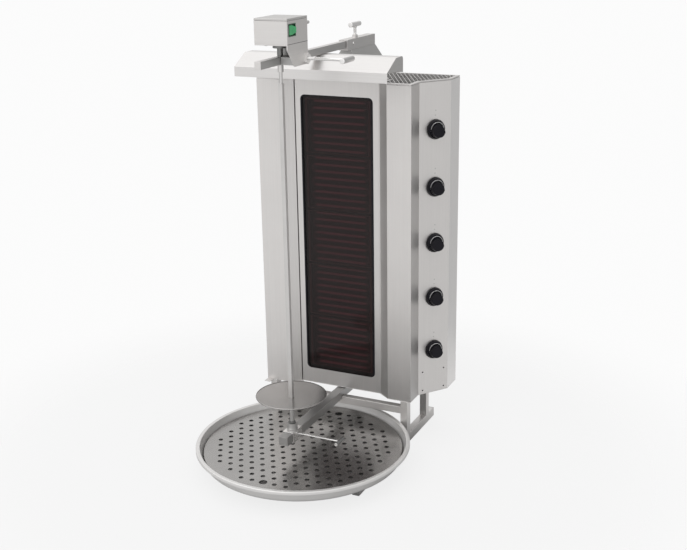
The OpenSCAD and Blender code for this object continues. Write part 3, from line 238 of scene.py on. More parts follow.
# Sheet turned on a lathe: fine rings round its centre spread the reflections outwards
def turnedSteel(name, centre, look):
    s = Shader(name, Metallic=0.92)
    rings = s.node("TexNoise", {"W": s.radius(centre) * look["rings"], "Detail": 2.0}, noise_dimensions="1D")
    cloud = s.noise(s.where(), look["cloudScale"], 4.0)
    s.set("Base Color", s.colour((cloud + rings * 0.4 - 0.2).clamped(), look["dark"], look["light"]))
    s.set("Roughness", (cloud - 0.5) * 0.1 + look["rough"])
    s.bump(rings, look["bump"], look["depth"])


turnedSteel("discSteel", sum(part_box("meat_disc"), Vector()) / 2, {
    "rings": 1500.0, "cloudScale": 22.0, "dark": (0.3, 0.29, 0.285), "light": (0.39, 0.38, 0.37),
    "rough": 0.21, "bump": 0.1, "depth": 0.0001,
})


# Moulded plastic and fibre: a fine grain in the surface, rubbed tones and, on the heater trays, a faint red
# glow painted on as the ribbons' light
def plastic(name, grainScale, dark, light, rough, bump, shine=0.5, paintedGlow=None, glow=0.0):
    s = Shader(name, Specular_IOR_Level=shine)
    grain = s.noise(s.where(), grainScale)
    cloud = s.noise(s.where(), 35.0)
    s.set("Base Color", s.colour(cloud, dark, light))
    s.set("Roughness", (grain - 0.5) * 0.2 + (cloud - 0.5) * 0.12 + rough)
    if paintedGlow:
        s.set("Emission Color", s.colour(cloud, Vector(paintedGlow) * 0.8, paintedGlow))
        s.set("Emission Strength", glow)
    s.bump(grain, bump, 0.0001)


plastic("blackPlastic", 1400.0, (0.012, 0.012, 0.013), (0.028, 0.028, 0.03), rough=0.45, bump=0.25)
plastic("knobPlastic", 900.0, (0.003, 0.003, 0.005), (0.007, 0.006, 0.01), rough=0.3, bump=0.12, shine=0.16)
plastic("deepGreen", 800.0, (0.008, 0.05, 0.022), (0.014, 0.08, 0.035), rough=0.3, bump=0.08)
plastic("greenPlastic", 800.0, (0.035, 0.27, 0.1), (0.07, 0.42, 0.17), rough=0.3, bump=0.08)
plastic("creamPlastic", 700.0, (0.5, 0.46, 0.38), (0.62, 0.58, 0.48), rough=0.5, bump=0.15)
plastic("markPaint", 500.0, (0.35, 0.35, 0.34), (0.5, 0.5, 0.48), rough=0.5, bump=0.05)
plastic("shadow", 700.0, (0.008, 0.008, 0.008), (0.016, 0.016, 0.015), rough=0.9, bump=0.2, shine=0.0)
plastic("fibre", 420.0, (0.48, 0.44, 0.37), (0.7, 0.66, 0.58), rough=0.9, bump=0.9)
# Painted light: the heater trays glow faintly red, for the ribbons' light falling on them
plastic("heaterFibre", 420.0, (0.1, 0.07, 0.06), (0.16, 0.115, 0.1), rough=0.9, bump=0.9,
        paintedGlow=(0.6, 0.16, 0.19), glow=0.13)

# Dark ceramic glass that lets the ribbons show through faintly
glassLook = {"dark": (0.006, 0.0052, 0.0052), "light": (0.012, 0.0095, 0.009), "rough": 0.06, "alpha": 0.82}
s = Shader("ceramicGlass", IOR=1.5, Specular_IOR_Level=0.24)
cloud = s.noise(s.where(), 7.0, 4.0)
speck = s.ramp(s.noise(s.where(), 900.0, 1.0), 0.68, 0.75)
s.set("Base Color", s.colour(cloud, glassLook["dark"], glassLook["light"]))
s.set("Roughness", cloud * 0.08 + speck * 0.05 + glassLook["rough"])
s.set("Alpha", (cloud - 0.5) * 0.06 + glassLook["alpha"])
s.bump(cloud, 0.03, 0.0004)
s.material.surface_render_method = "BLENDED"

# Ribbon metal glows softly and is cooler at the turns
emberLook = {
    "dark": (0.12, 0.03, 0.025), "light": (0.25, 0.06, 0.04), "cool": (0.36, 0.085, 0.11),
    "hot": (0.46, 0.11, 0.14), "turnShare": 0.3, "glow": 1.9, "fadeFrom": 0.013, "fadeTo": 0.007,
}
s = Shader("ribbonMetal", Metallic=0.4, Roughness=0.6)
cloud = s.noise(s.where(), 60.0)
s.set("Base Color", s.colour(cloud, emberLook["dark"], emberLook["light"]))
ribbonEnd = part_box("heating_ribbons")[1].x
fadeFrom, fadeTo = ribbonEnd - emberLook["fadeFrom"], ribbonEnd - emberLook["fadeTo"]
aside = s.ramp(s.maths("ABSOLUTE", s.axis("X")), fadeFrom, fadeTo)
warm = s.colour(cloud, emberLook["cool"], emberLook["hot"])
s.set("Emission Color", s.colour(aside, warm, Vector(emberLook["cool"]) * emberLook["turnShare"]))
s.set("Emission Strength", emberLook["glow"])
print("stage: materials made,", len(finish))


def linked(name, data):
    obj = bpy.data.objects.new(name, data)
    bpy.context.scene.collection.objects.link(obj)
    return obj


def meshFrom(work, name):
    mesh = bpy.data.meshes.new(name)
    bmesh.ops.recalc_face_normals(work, faces=work.faces)
    work.to_mesh(mesh)
    work.free()
    return mesh


# Links a shape as a piece of the object, hides the nodes it stands for and hangs it on the body of those
# nodes or of the node that carries it
def place(name, shape, finishes=(), stands=(), carrier=None, slotName="stainless", angle=38, shaded=False):
    mesh = meshFrom(shape, name) if isinstance(shape, bmesh.types.BMesh) else shape
    obj = linked(name, mesh)
    if finishes:
        faces = [f.material_index for f in mesh.polygons]
        mesh.materials.clear()
        for look in finishes:
            mesh.materials.append(finish[look])
        mesh.polygons.foreach_set("material_index", [min(i, len(finishes) - 1) for i in faces])
    if not shaded:
        mesh.shade_smooth()
        mesh.set_sharp_from_angle(angle=math.radians(angle))
    if stands:
        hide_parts(*stands)
    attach(obj, homes[carrier or stands[0]])
    return obj


# A modifier's result as a plain mesh
def applied(obj):
    bpy.context.view_layer.update()
    graph = bpy.context.evaluated_depsgraph_get()
    done = obj.evaluated_get(graph)
    mesh = bpy.data.meshes.new_from_object(done, preserve_all_data_layers=True, depsgraph=graph)
    bpy.data.objects.remove(obj)
    return mesh


# The node's loose triangles joined into clean faces, on a copy
def joined(name):
    work = bmesh.new()
    work.from_mesh(nodes[name].data)
    bmesh.ops.remove_doubles(work, verts=work.verts, dist=0.00001)
    bmesh.ops.dissolve_limit(work, angle_limit=math.radians(0.5), verts=work.verts, edges=work.edges)
    return work


# The CAD shape with its edges rounded
def dress(name, look, bevel=0.0005, slotName="stainless"):
    mesh = meshFrom(joined(name), name)
    mesh.shade_smooth()
    obj = linked(name + "_work", mesh)
    soft = obj.modifiers.new("soft", "BEVEL")
    soft.width = bevel
    soft.segments = 2
    soft.limit_method = "ANGLE"
    soft.angle_limit = math.radians(30)
    soft.use_clamp_overlap = False
    soft.miter_outer = "MITER_ARC"
    obj.modifiers.new("flat", "WEIGHTED_NORMAL").weight = 90
    return place(name + "_piece", applied(obj), [look], [name], slotName=slotName, shaded=True)


def span(name):
    low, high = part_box(name)
    return low, high, (low + high) / 2, high - low


# Rings of points joined by quads; the ends are joined to each other, capped or left open
def skin(rings, ends="joined"):
    work = bmesh.new()
    made = [[work.verts.new(p) for p in ring] for ring in rings]
    pairs = list(zip(made, made[1:]))
    if ends == "joined":
        pairs.append((made[-1], made[0]))
    for a, b in pairs:
        for i in range(len(a)):
            j = (i + 1) % len(a)
            work.faces.new((a[i], a[j], b[j], b[i]))
    if ends == "capped":
        work.faces.new(reversed(made[0]))
        work.faces.new(made[-1])
    return work


# Points of an arc in two measures, such as a profile's radius and height
def arcPoints(x, z, r, start, end, steps=6):
    angles = [math.radians(start + (end - start) * i / steps) for i in range(steps + 1)]
    return [(x + r * math.cos(a), z + r * math.sin(a)) for a in angles]


def circle(x, y, r, segments):
    return arcPoints(x, y, r, 0, 360, segments)[:-1]


# A profile of radius and height turned about an upright line
def turned(profile, segments, centre=Vector(), ends="joined"):
    rings = [[centre + Vector((x, y, z)) for x, y in circle(0, 0, r, segments)] for r, z in profile]
    return skin(rings, ends)


def mergeInto(target, source):
    mesh = bpy.data.meshes.new("part")
    source.to_mesh(mesh)
    source.free()
    target.from_mesh(mesh)
    bpy.data.meshes.remove(mesh)


def boxMesh(work, low, high):
    made = bmesh.ops.create_cube(work, size=1)
    centre, size = (Vector(low) + Vector(high)) / 2, Vector(high) - Vector(low)
    for v in made["verts"]:
        v.co = v.co * size + centre


# Gives an object a Geometry Nodes tree and its inputs, by identifier
def grow(obj, tree, values):
    modifier = obj.modifiers.new(tree.name, "NODES")
    modifier.node_group = tree
    for item in tree.interface.items_tree:
        if item.name in values:
            modifier[item.identifier] = values[item.name]


# Geometry Nodes: copies of one mesh at the points of another, turned by their attribute
group = Group("copies", {"Points": "Geometry", "Piece": "Object"})
many = {
    "Points": group.entry["Points"],
    "Instance": group.node("GeometryNodeObjectInfo", {"Object": group.entry["Piece"]}, "Geometry"),
    "Rotation": group.node("GeometryNodeInputNamedAttribute", {"Name": "turn"}, data_type="FLOAT_VECTOR"),
}
copies = group.finished(group.node("GeometryNodeInstanceOnPoints", many))


# Points become copies of a small mesh, each with its turn if there are turns
def repeated(name, points, small, look, turns=()):
    cloud = bpy.data.meshes.new(name + "_points")
    cloud.from_pydata([tuple(p) for p in points], [], [])
    attribute = cloud.attributes.new("turn", "FLOAT_VECTOR", "POINT")
    for spot, turn in zip(attribute.data, turns):
        spot.vector = tuple(turn)
    holder, part = linked(name + "_holder", cloud), linked(name + "_part", small)
    grow(holder, copies, {"Piece": part, "Finish": finish[look]})
    mesh = applied(holder)
    bpy.data.objects.remove(part)
    return mesh


# Corners of a node's flat top, seen from above and counter-clockwise
def topOutline(name):
    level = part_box(name)[1].z
    work = joined(name)
    work.normal_update()
    top = {f for f in work.faces if f.normal.z > 0.9 and abs(f.calc_center_median().z - level) < 0.0002}
    following = {}
    for f in top:
        for loop in f.loops:
            if sum(g in top for g in loop.edge.link_faces) == 1:
                following[loop.vert] = loop.link_loop_next.vert
    start = max(following, key=lambda v: v.co.x)  # on the outer edge, not on a hole's
    edge, v = [start.co.xy], following[start]
    while v != start:
        edge.append(v.co.xy)
        v = following[v]
    work.free()
    corners = []
    for i, p in enumerate(edge):
        a, b = p - edge[i - 1], edge[(i + 1) % len(edge)] - p
        if abs(a.normalized().cross(b.normalized())) > 0.01:
            corners.append(p)
    return corners


# A closed outline moved inwards by a distance, corner by corner
def inset(outline, distance):
    moved = []
    for i, p in enumerate(outline):
        a, b = (p - outline[i - 1]).normalized(), (outline[(i + 1) % len(outline)] - p).normalized()
        n1, n2 = Vector((-a.y, a.x)), Vector((-b.y, b.x))
        moved.append(p + (n1 + n2) / (1 + n1.dot(n2)) * distance)
    return moved


def inside(outline, x, y):
    hit = False
    for i, (x1, y1) in enumerate(outline):
        x2, y2 = outline[i - 1]
        if (y1 > y) != (y2 > y) and x < (x2 - x1) * (y - y1) / (y2 - y1) + x1:
            hit = not hit
    return hit


# Points of each separate solid in a node
def islands(name):
    work = joined(name)
    left, found = set(work.verts), []
    while left:
        stack, solid = [left.pop()], []
        while stack:
            v = stack.pop()
            solid.append(v.co.copy())
            for e in v.link_edges:
                other = e.other_vert(v)
                if other in left:
                    left.remove(other)
                    stack.append(other)
        found.append(solid)
    work.free()
    return found


# Where points start and end along a direction
def reach(points, direction):
    along = [p.dot(direction) for p in points]
    return min(along), max(along)


unitX, unitY, unitZ = (Vector([float(i == k) for i in range(3)]) for k in range(3))

# Housing, frame and other sheet pieces: finish, edge radius and slot, where not the usual ones
plain = {
    "base_frame": ("steelAcross", 0.001), "rail_plugs": ("footSteel", 0.0008, "black_plastic"),
    "lower_arm": ("armSteel", 0.0011), "bottom_plate": ("steelAcross", 0.0004),
    "back_panel": ("steelUp", 0.0004), "side_panel_left": ("steelUp",), "side_panel_right": ("steelUp",),
    "control_panel": ("steelUp",), "column_left": ("steelUp",), "column_right": ("burnerSteel",),
    "burner_front": ("burnerSteel",), "ceramic_glass": ("ceramicGlass", 0.0005, "dark_glass"),
    "glass_seal": ("fibre", 0.0003, "fibre"), "heater_rails": ("darkSteel", 0.0004, "galvanised"),
    "heater_trays": ("heaterFibre", 0.0008, "fibre"), "insulation_board": ("fibre", 0.001, "wool"),
    "regulators": ("creamPlastic", 0.0006, "regulator_plastic"),
    "terminal_block": ("creamPlastic", 0.0006, "regulator_plastic"),
    "cable_gland": ("blackPlastic", 0.0002, "black_plastic"),
    "hood": ("hoodSteel", 0.0005, "polished_steel"),
    "hood_brackets": ("steelDeep",), "sleeve_stand": ("darkSteel",), "sleeve": ("steelDeep",),
    "top_arm": ("steelDeep",), "motor_bracket": ("steelDeep",),
    "guide_block": ("darkSteel", 0.0006, "black_plastic"), "gear_motor": ("castMetal", 0.0008, "cast_metal"),
    "motor_box": ("steelAcross",), "motor_lid": ("lidSteel", 0.0006),
    "motor_gland": ("polished", 0.00015, "black_plastic"),
    "head_screws": ("castMetal", 0.0004, "polished_steel"),
    "switch_housing": ("deepGreen", 0.0005, "black_plastic"),
    "rocker": ("greenPlastic", 0.0007, "green_plastic"),
    "drive_coupling": ("castMetal", 0.0005, "cast_metal"),
    "spit_bar": ("spitSteel", 0.0005, "polished_steel"),
    "disc_collar": ("footSteel", 0.0006, "polished_steel"),
    "foot_slider": ("polished", 0.0006, "polished_steel"),
    "foot_cup": ("footSteel", 0.0007, "polished_steel"),
    "foot_bush": ("castMetal", 0.0006, "black_plastic"),
    **{f"spindle_{i}": ("polished", 0.0004, "polished_steel") for i in range(1, 6)},
}
pieces = {name: dress(name, *row) for name, row in plain.items()}

# Faces that take another finish than the rest of their pieces: lighter or darker copies on faces turned
# towards or away from the light are painted light and painted shade; the bracket's nut is polished
boxLow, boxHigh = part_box("motor_box")
nutFrom = boxHigh.x + 0.0005  # only the bracket's nut stands out beyond the box
otherFaces = (
    # Painted shade: the flare faces turned to the left front take the darker copy
    (("burner_front", "column_right"), "flareSteel", lambda f: f.normal.x < -0.3 and f.normal.y < -0.3),
    # Painted light: the control and side panel faces turned to the right take the lighter copy
    (("control_panel", "side_panel_right"), "brightSteel", lambda f: f.normal.x > 0.9),
    # Painted shade: the hood and sleeve faces turned to the right take the darker copy
    (("hood", "sleeve"), "shadeSteel", lambda f: f.normal.x > 0.7),
    # Painted shade: the top arm's right side takes the dark steel
    (("top_arm",), "darkSteel", lambda f: f.normal.x > 0.7),
    (("motor_bracket",), "polished", lambda f: f.center.x > nutFrom),
    # Painted shade: the rocker's front end takes the deep green of the switch housing
    (("rocker",), "deepGreen", lambda f: f.normal.y < -0.5),
)
for names, look, chosen in otherFaces:
    for name in names:
        mesh = pieces[name].data
        mesh.materials.append(finish[look])
        for face in mesh.polygons:
            face.material_index = int(chosen(face))

# The rocker narrows towards its far end
farNarrowing = 0.45
middle, size = span("rocker")[2:]
for v in pieces["rocker"].data.vertices:
    share = max(0.0, (v.co.y - middle.y) / size.y * 2)
    v.co.z = middle.z + (v.co.z - middle.z) * (1 - farNarrowing * share)
print("stage: sheet pieces dressed,", len(pieces))

# Painted shade: a thin dark strip stands for the shadowed gap between the motor box and its bracket
gapShadeSet = {"inset": 0.0004, "half": 0.0005, "proud": 0.0001}
inner, half = gapShadeSet["inset"], gapShadeSet["half"]
gapShade = bmesh.new()
boxMesh(gapShade, (boxHigh.x - inner, boxLow.y + inner, boxLow.z - half),
        (boxHigh.x + gapShadeSet["proud"], boxHigh.y - inner, boxLow.z + half))
place("box_seam", gapShade, ["blackPlastic"], carrier="motor_box", slotName="black_plastic")

# Return of the right column's flange, which closes the gap seen from the right
returnSet = {"lap": 0.0002, "behind": 0.0006, "thick": 0.0015}
frontLow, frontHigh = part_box("burner_front")
lap, nearFace = returnSet["lap"], frontLow.y + returnSet["behind"]
strip = bmesh.new()
boxMesh(strip, (frontHigh.x - lap, nearFace, frontLow.z + lap),
        (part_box("column_right")[0].x + lap, nearFace + returnSet["thick"], frontHigh.z - lap))
place("seam_return", strip, ["burnerSteel"], carrier="burner_front")

# Dark enamel trim round the window
trimSet = {
    "lap": 0.0042, "over": 0.0011, "under": 0.0006, "round": 0.0125, "proud": 0.0003, "deep": 0.0011,
    "inner": 0.0002, "margin": 0.01,
}


# An upright rectangle with round corners
def roundedLoop(x0, z0, x1, z1, y):
    r, loop = trimSet["round"], []
    left, right, low, high = x0 + r, x1 - r, z0 + r, z1 - r
    for k, (x, z) in enumerate(((right, high), (left, high), (left, low), (right, low))):
        loop += [Vector((a, y, b)) for a, b in arcPoints(x, z, r, 90 * k, 90 * k + 90, 8)]
    return loop


near = Vector((trimSet["margin"], 0, trimSet["margin"]))
low, high = frontLow + near, frontHigh - near
front = [v.co for v in nodes["burner_front"].data.vertices]
window = [p for p in front if abs(p.x) < high.x and low.z < p.z < high.z]
wx, (wz0, wz1) = reach(window, unitX)[1], reach(window, unitZ)
edge, lap, proud = trimSet["inner"], trimSet["lap"], trimSet["proud"]
innerLoop = (edge - wx, wz0 + edge, wx - edge, wz1 - edge)
outerLoop = (-wx - lap, wz0 - trimSet["under"], wx + lap, wz1 + trimSet["over"])
depths = ((innerLoop, trimSet["deep"]), (innerLoop, -proud), (outerLoop, -proud), (outerLoop, proud))
trim = skin([roundedLoop(*loop, frontLow.y + depth) for loop, depth in depths])
place("window_trim", trim, ["knobPlastic"], carrier="burner_front", slotName="black_plastic")

# Top plate: a rim and border folded from one sheet, filled with expanded diamond mesh
topSet = {
    "border": 0.009, "thick": 0.0015, "bend": 0.0008, "pitchX": 0.0115, "pitchY": 0.0215, "web": 0.001,
    "lower": 0.0002, "standX": 0.004, "pad": 0.006, "footHeight": 0.006, "fold": 0.0014, "below": 0.0034,
}
low, high, middle, size = span("top_plate")
outline = topOutline("top_plate")
thick, bend, fold, border = (topSet[key] for key in ("thick", "bend", "fold", "border"))
under = high.z - thick
section = (
    (0, high.z - bend), (0, low.z + fold), (fold, low.z + fold), (fold, low.z), (thick * 2, low.z),
    (thick * 2, under), (border, under), (border, high.z), (bend, high.z), (bend * 0.3, high.z - bend * 0.3),
)
plate = skin([[Vector((*p, z)) for p in inset(outline, distance)] for distance, z in section])
standLow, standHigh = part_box("sleeve_stand")
standX, pad = topSet["standX"], topSet["pad"]
pads = [(standLow.x - standX, standLow.y - pad, standHigh.x + standX, high.y - thick)]
for bracket in islands("hood_brackets"):
    foot = [p for p in bracket if p.z < high.z + topSet["footHeight"]]
    (x0, x1), (y0, y1) = reach(foot, unitX), reach(foot, unitY)
    pads.append((x0 - pad, y0 - pad, x1 + pad, y1 + pad))
for x0, y0, x1, y1 in pads:
    boxMesh(plate, (x0, y0, under), (x1, y1, high.z))
place("top_plate_border", plate, ["steelAcross"], ["top_plate"], angle=50)
field = inset(outline, border)
px, py = topSet["pitchX"], topSet["pitchY"]
across = int(size.x / px / 2) + 1
cells = []
for j in range(int(size.y / py * 2) + 2):
    for i in range(-across, across + 1):
        x, y = (i + (j % 2) / 2) * px, low.y + j * py / 2
        if inside(field, x, y) and not any(x0 < x < x1 and y0 < y < y1 for x0, y0, x1, y1 in pads):
            cells.append((x, y, high.z - thick / 2))
half, web = thick / 2 - topSet["lower"], topSet["web"]
strand = ((web, -half), (web, half), (-web / 2, half * 0.6), (-web / 2, -half))
diamond = skin([
    [Vector((c * (px / 2 + out), s * (py / 2 + out), z)) for c, s in ((1, 0), (0, 1), (-1, 0), (0, -1))]
    for out, z in strand])
lattice = repeated("top_mesh", cells, meshFrom(diamond, "diamond"), "steelAcross")
place("top_plate_mesh", lattice, carrier="top_plate", angle=30)
# Painted shade: a dark sheet below the mesh stands for the shade inside the housing
shadeSheet = bmesh.new()
shadeSheet.faces.new([shadeSheet.verts.new((*p, high.z - topSet["below"])) for p in inset(outline, border / 2)])
place("top_screen", shadeSheet, ["shadow"], carrier="top_plate")
print("stage: top plate,", len(cells), "diamonds")

# Heating ribbons: a corrugated band runs to and fro in each tray
ribbonSet = {
    "amplitude": 0.0028, "wave": 0.0055, "step": 0.001, "turnSteps": 10, "thick": 0.0008, "spread": 0.0055,
    "runPitch": 0.017, "margin": 0.001,
}
margin, spread = ribbonSet["margin"], ribbonSet["spread"] - ribbonSet["margin"]
points, edges = [], []
for ribbon in sorted(islands("heating_ribbons"), key=lambda solid: solid[0].z):
    (x0, x1), (y0, y1), (z0, z1) = (reach(ribbon, unit) for unit in (unitX, unitY, unitZ))
    runs = round((z1 - z0) / ribbonSet["runPitch"]) + 1
    pitch = (z1 - z0 + 2 * spread) / (runs - 1)
    end = x1 - margin - pitch / 2
    first = len(points)
    for i in range(runs):
        z, side = z0 - spread + i * pitch, 1 - 2 * (i % 2)
        points += [(-side * end, y0, z), (side * end, y0, z)]
        if i < runs - 1:
            turn = arcPoints(end, z + pitch / 2, pitch / 2, -90, 90, ribbonSet["turnSteps"])[1:-1]
            points += [(side * a, y0, b) for a, b in turn]
    edges += [(k, k + 1) for k in range(first, len(points) - 1)]
pathMesh = bpy.data.meshes.new("ribbon_path")
pathMesh.from_pydata(points, edges, [])

# Geometry Nodes: a path becomes a wavy upright band
sizes = dict.fromkeys(("Step", "Wave", "Amplitude", "Band"), "Float")
group = Group("wavyBand", {"Path": "Geometry", **sizes})
entry = group.entry
curve = group.node("GeometryNodeMeshToCurve", {0: entry["Path"]})
even = group.node("GeometryNodeResampleCurve", {0: curve, "Length": entry["Step"]}, mode="LENGTH")
along = group.node("GeometryNodeSplineParameter", {}, "Length")
wave = group.maths("SINE", group.maths("DIVIDE", along, entry["Wave"]) * (2 * math.pi)) * entry["Amplitude"]
aside = group.vector("CROSS_PRODUCT", group.node("GeometryNodeInputTangent", {}), (0, 1, 0))
offset = group.node("VectorMath", {0: aside, "Scale": wave}, operation="SCALE")
wavy = group.node("GeometryNodeSetPosition", {"Geometry": even, "Offset": offset})
upright = group.node("GeometryNodeSetCurveNormal", {"Curve": wavy, "Normal": (0, 1, 0)}, mode="FREE")
line = group.node("GeometryNodeCurvePrimitiveLine", {"End": group.node("CombineXYZ", {0: entry["Band"]})})
band = group.node("GeometryNodeCurveToMesh", {"Curve": upright, "Profile Curve": line})
bands = linked("ribbon_bands", pathMesh)
grow(bands, group.finished(band), {
    "Step": ribbonSet["step"], "Wave": ribbonSet["wave"], "Amplitude": ribbonSet["amplitude"],
    "Band": y1 - y0, "Finish": finish["ribbonMetal"]})
thick = bands.modifiers.new("thick", "SOLIDIFY")
thick.thickness = ribbonSet["thick"]
thick.offset = 0
place("ribbons", applied(bands), stands=["heating_ribbons"], slotName="ribbon_metal")
print("stage: ribbons")

# Drip tray: turned from a profile with a rolled edge
traySet = {
    "rim": 0.0095, "lean": 0.008, "corner": 0.016, "thick": 0.0015, "edge": 0.008, "roll": 0.002,
    "wallAngle": -8, "bore": 0.001, "segments": 180,
}
low, high, middle, size = span("drip_tray")
outer, t, corner, bore = size.x / 2, traySet["thick"], traySet["corner"], traySet["bore"]
roll, slope = traySet["roll"], traySet["wallAngle"]
wall = outer - traySet["rim"]
base = wall - traySet["lean"] - corner
trayFloor, top, lipEnd = low.z + t, high.z - roll, high.z - traySet["edge"]
profile = [(bore, low.z), (base / 2, low.z)] + arcPoints(base, low.z + corner, corner, -90, slope)
profile += [(wall - t, top - t)] + arcPoints(wall + roll - t, top - t, roll, 180, 90, 3)
profile += [(outer - roll, high.z - t)] + arcPoints(outer - roll, top, roll - t, 90, 0, 3)
profile += [(outer - t, lipEnd), (outer, lipEnd)] + arcPoints(outer - roll, top, roll, 0, 90, 5)
profile += arcPoints(wall + roll - t, top, roll, 90, 180, 5)
profile += arcPoints(base, low.z + corner, corner - t, slope, -90)
profile += [(base / 2, trayFloor), (bore, trayFloor)]
centre = Vector((middle.x, middle.y, 0))
place("tray", turned(profile, traySet["segments"], centre), ["traySteel"], ["drip_tray"])

# Perforated plate: a flat disc with pressed holes, a folded edge and four legs
sieveSet = {
    "edge": 0.006, "thick": 0.0015, "bend": 0.0018, "pitch": 0.0315, "hole": 0.005, "lip": 0.0008,
    "field": 0.232, "finger": 0.0095, "fingerRow": 8, "legOut": 0.01, "legWidth": 0.014, "legGap": 0.0003,
    "segments": 180, "holeSegments": 28,
}
low, high, middle, size = span("perforated_plate")
centre = Vector((middle.x, middle.y, 0))
outer, t, bend, lip = size.x / 2, sieveSet["thick"], sieveSet["bend"], sieveSet["lip"]
under, lipEnd = high.z - t, high.z - sieveSet["edge"]
profile = [(outer - bend, high.z)] + arcPoints(outer - bend, high.z - bend, bend, 75, 0, 5)
profile += [(outer, lipEnd), (outer - t, lipEnd), (outer - t, under), (outer - bend, under)]
plate = turned(profile, sieveSet["segments"], centre)
pitch, field, fingerRow = sieveSet["pitch"], sieveSet["field"], sieveSet["fingerRow"]
rowStep = pitch * math.sin(math.radians(60))
count = int(field / rowStep)
holes = []
for j in range(-count, count + 1):
    for i in range(-count, count + 1):
        x, y = (i + (abs(j) % 2) / 2) * pitch, j * rowStep
        if math.hypot(x, y) < field and not (abs(x) < pitch / 4 and abs(j) >= fingerRow):
            holes.append((x, y, sieveSet["hole"]))
holes += [(0, side * fingerRow * rowStep, sieveSet["finger"]) for side in (-1, 1)]

# The flat sheet between the holes, above and below
rings = [circle(0, 0, outer - bend, sieveSet["segments"])]
rings += [circle(x, y, r + lip / 2, sieveSet["holeSegments"]) for x, y, r in holes]
flat, faces = [], []
for ring in rings:
    faces.append(list(range(len(flat), len(flat) + len(ring))))
    flat += [Vector(p) for p in ring]
verts, _, tris, _, _, sources = geometry.delaunay_2d_cdt(flat, [], faces, 1, 1e-7)
for z, flip in ((high.z, False), (under, True)):
    made = [plate.verts.new(centre + Vector((*v, z))) for v in verts]
    for tri, source in zip(tris, sources):
        if source == [0]:
            corners = [made[k] for k in tri]
            plate.faces.new(reversed(corners) if flip else corners)
legIn, legHalf = field + sieveSet["legOut"], sieveSet["legWidth"] / 2
for k in range(4):
    leg = bmesh.new()
    boxMesh(leg, (legIn, -legHalf, trayFloor + sieveSet["legGap"]), (legIn + t, legHalf, under))
    leg.transform(Matrix.Translation(centre) @ Matrix.Rotation(math.radians(45 + 90 * k), 4, "Z"))
    mergeInto(plate, leg)
mesh = bpy.data.meshes.new("perforated")
plate.to_mesh(mesh)
plate.free()
place("perforated", mesh, ["sieveSteel"], ["perforated_plate"])
# Pressed lips round the holes take the dark shadow finish: painted shade inside the holes
for label, chosen in (("drain", holes[:-2]), ("finger", holes[-2:])):
    r = chosen[0][2]
    profile = arcPoints(r + lip * 0.9, high.z - lip * 0.8, lip * 0.9, 60, 180, 4)
    profile += [(r, under), (r + lip, under)]
    rim = meshFrom(turned(profile, sieveSet["holeSegments"]), label)
    lips = repeated(label + "_lips", [centre + Vector((x, y, 0)) for x, y, _ in chosen], rim, "shadow")
    place(label + "_hole_lips", lips, carrier="perforated_plate")
print("stage: tray and perforated plate,", len(holes), "holes")

# Meat disc: a shallow dish with a rolled edge
discSet = {"thick": 0.0015, "roll": 0.0016, "bore": 0.0055, "lift": 0.0002, "steps": 14, "segments": 144}
low, high, middle, size = span("meat_disc")
outer, t, roll, bore = size.x / 2, discSet["thick"], discSet["roll"], discSet["bore"]
dip = size.z - t
radius = (outer * outer + dip * dip) / (2 * dip)
bottom = []
for i in range(discSet["steps"] + 1):
    r = bore + (outer - roll - bore) * i / discSet["steps"]
    bottom.append((r, low.z + radius - math.sqrt(radius * radius - r * r)))
edge = arcPoints(outer - roll, bottom[-1][1] + t / 2 + discSet["lift"], roll * 0.95, -70, 110, 8)
profile = bottom + edge + [(r, z + t) for r, z in reversed(bottom)]
dish = turned(profile, discSet["segments"], Vector((middle.x, middle.y, 0)))
place("disc", dish, ["discSteel"], ["meat_disc"], slotName="polished_steel")

# Clamp screws: a threaded rod along Z or X with a turned cross handle along Y
screwSet = {
    "rod": 0.004, "pitch": 0.0014, "depth": 0.0005, "sides": 32, "rowsPerTurn": 5, "threadShare": 0.5,
    "chamfer": 0.0006, "crown": 0.0002, "collarLow": 0.003, "collarHigh": 0.002, "collarWide": 0.0012,
    "shoulder": 0.0016, "handleSides": 40, "side": "polished",
}


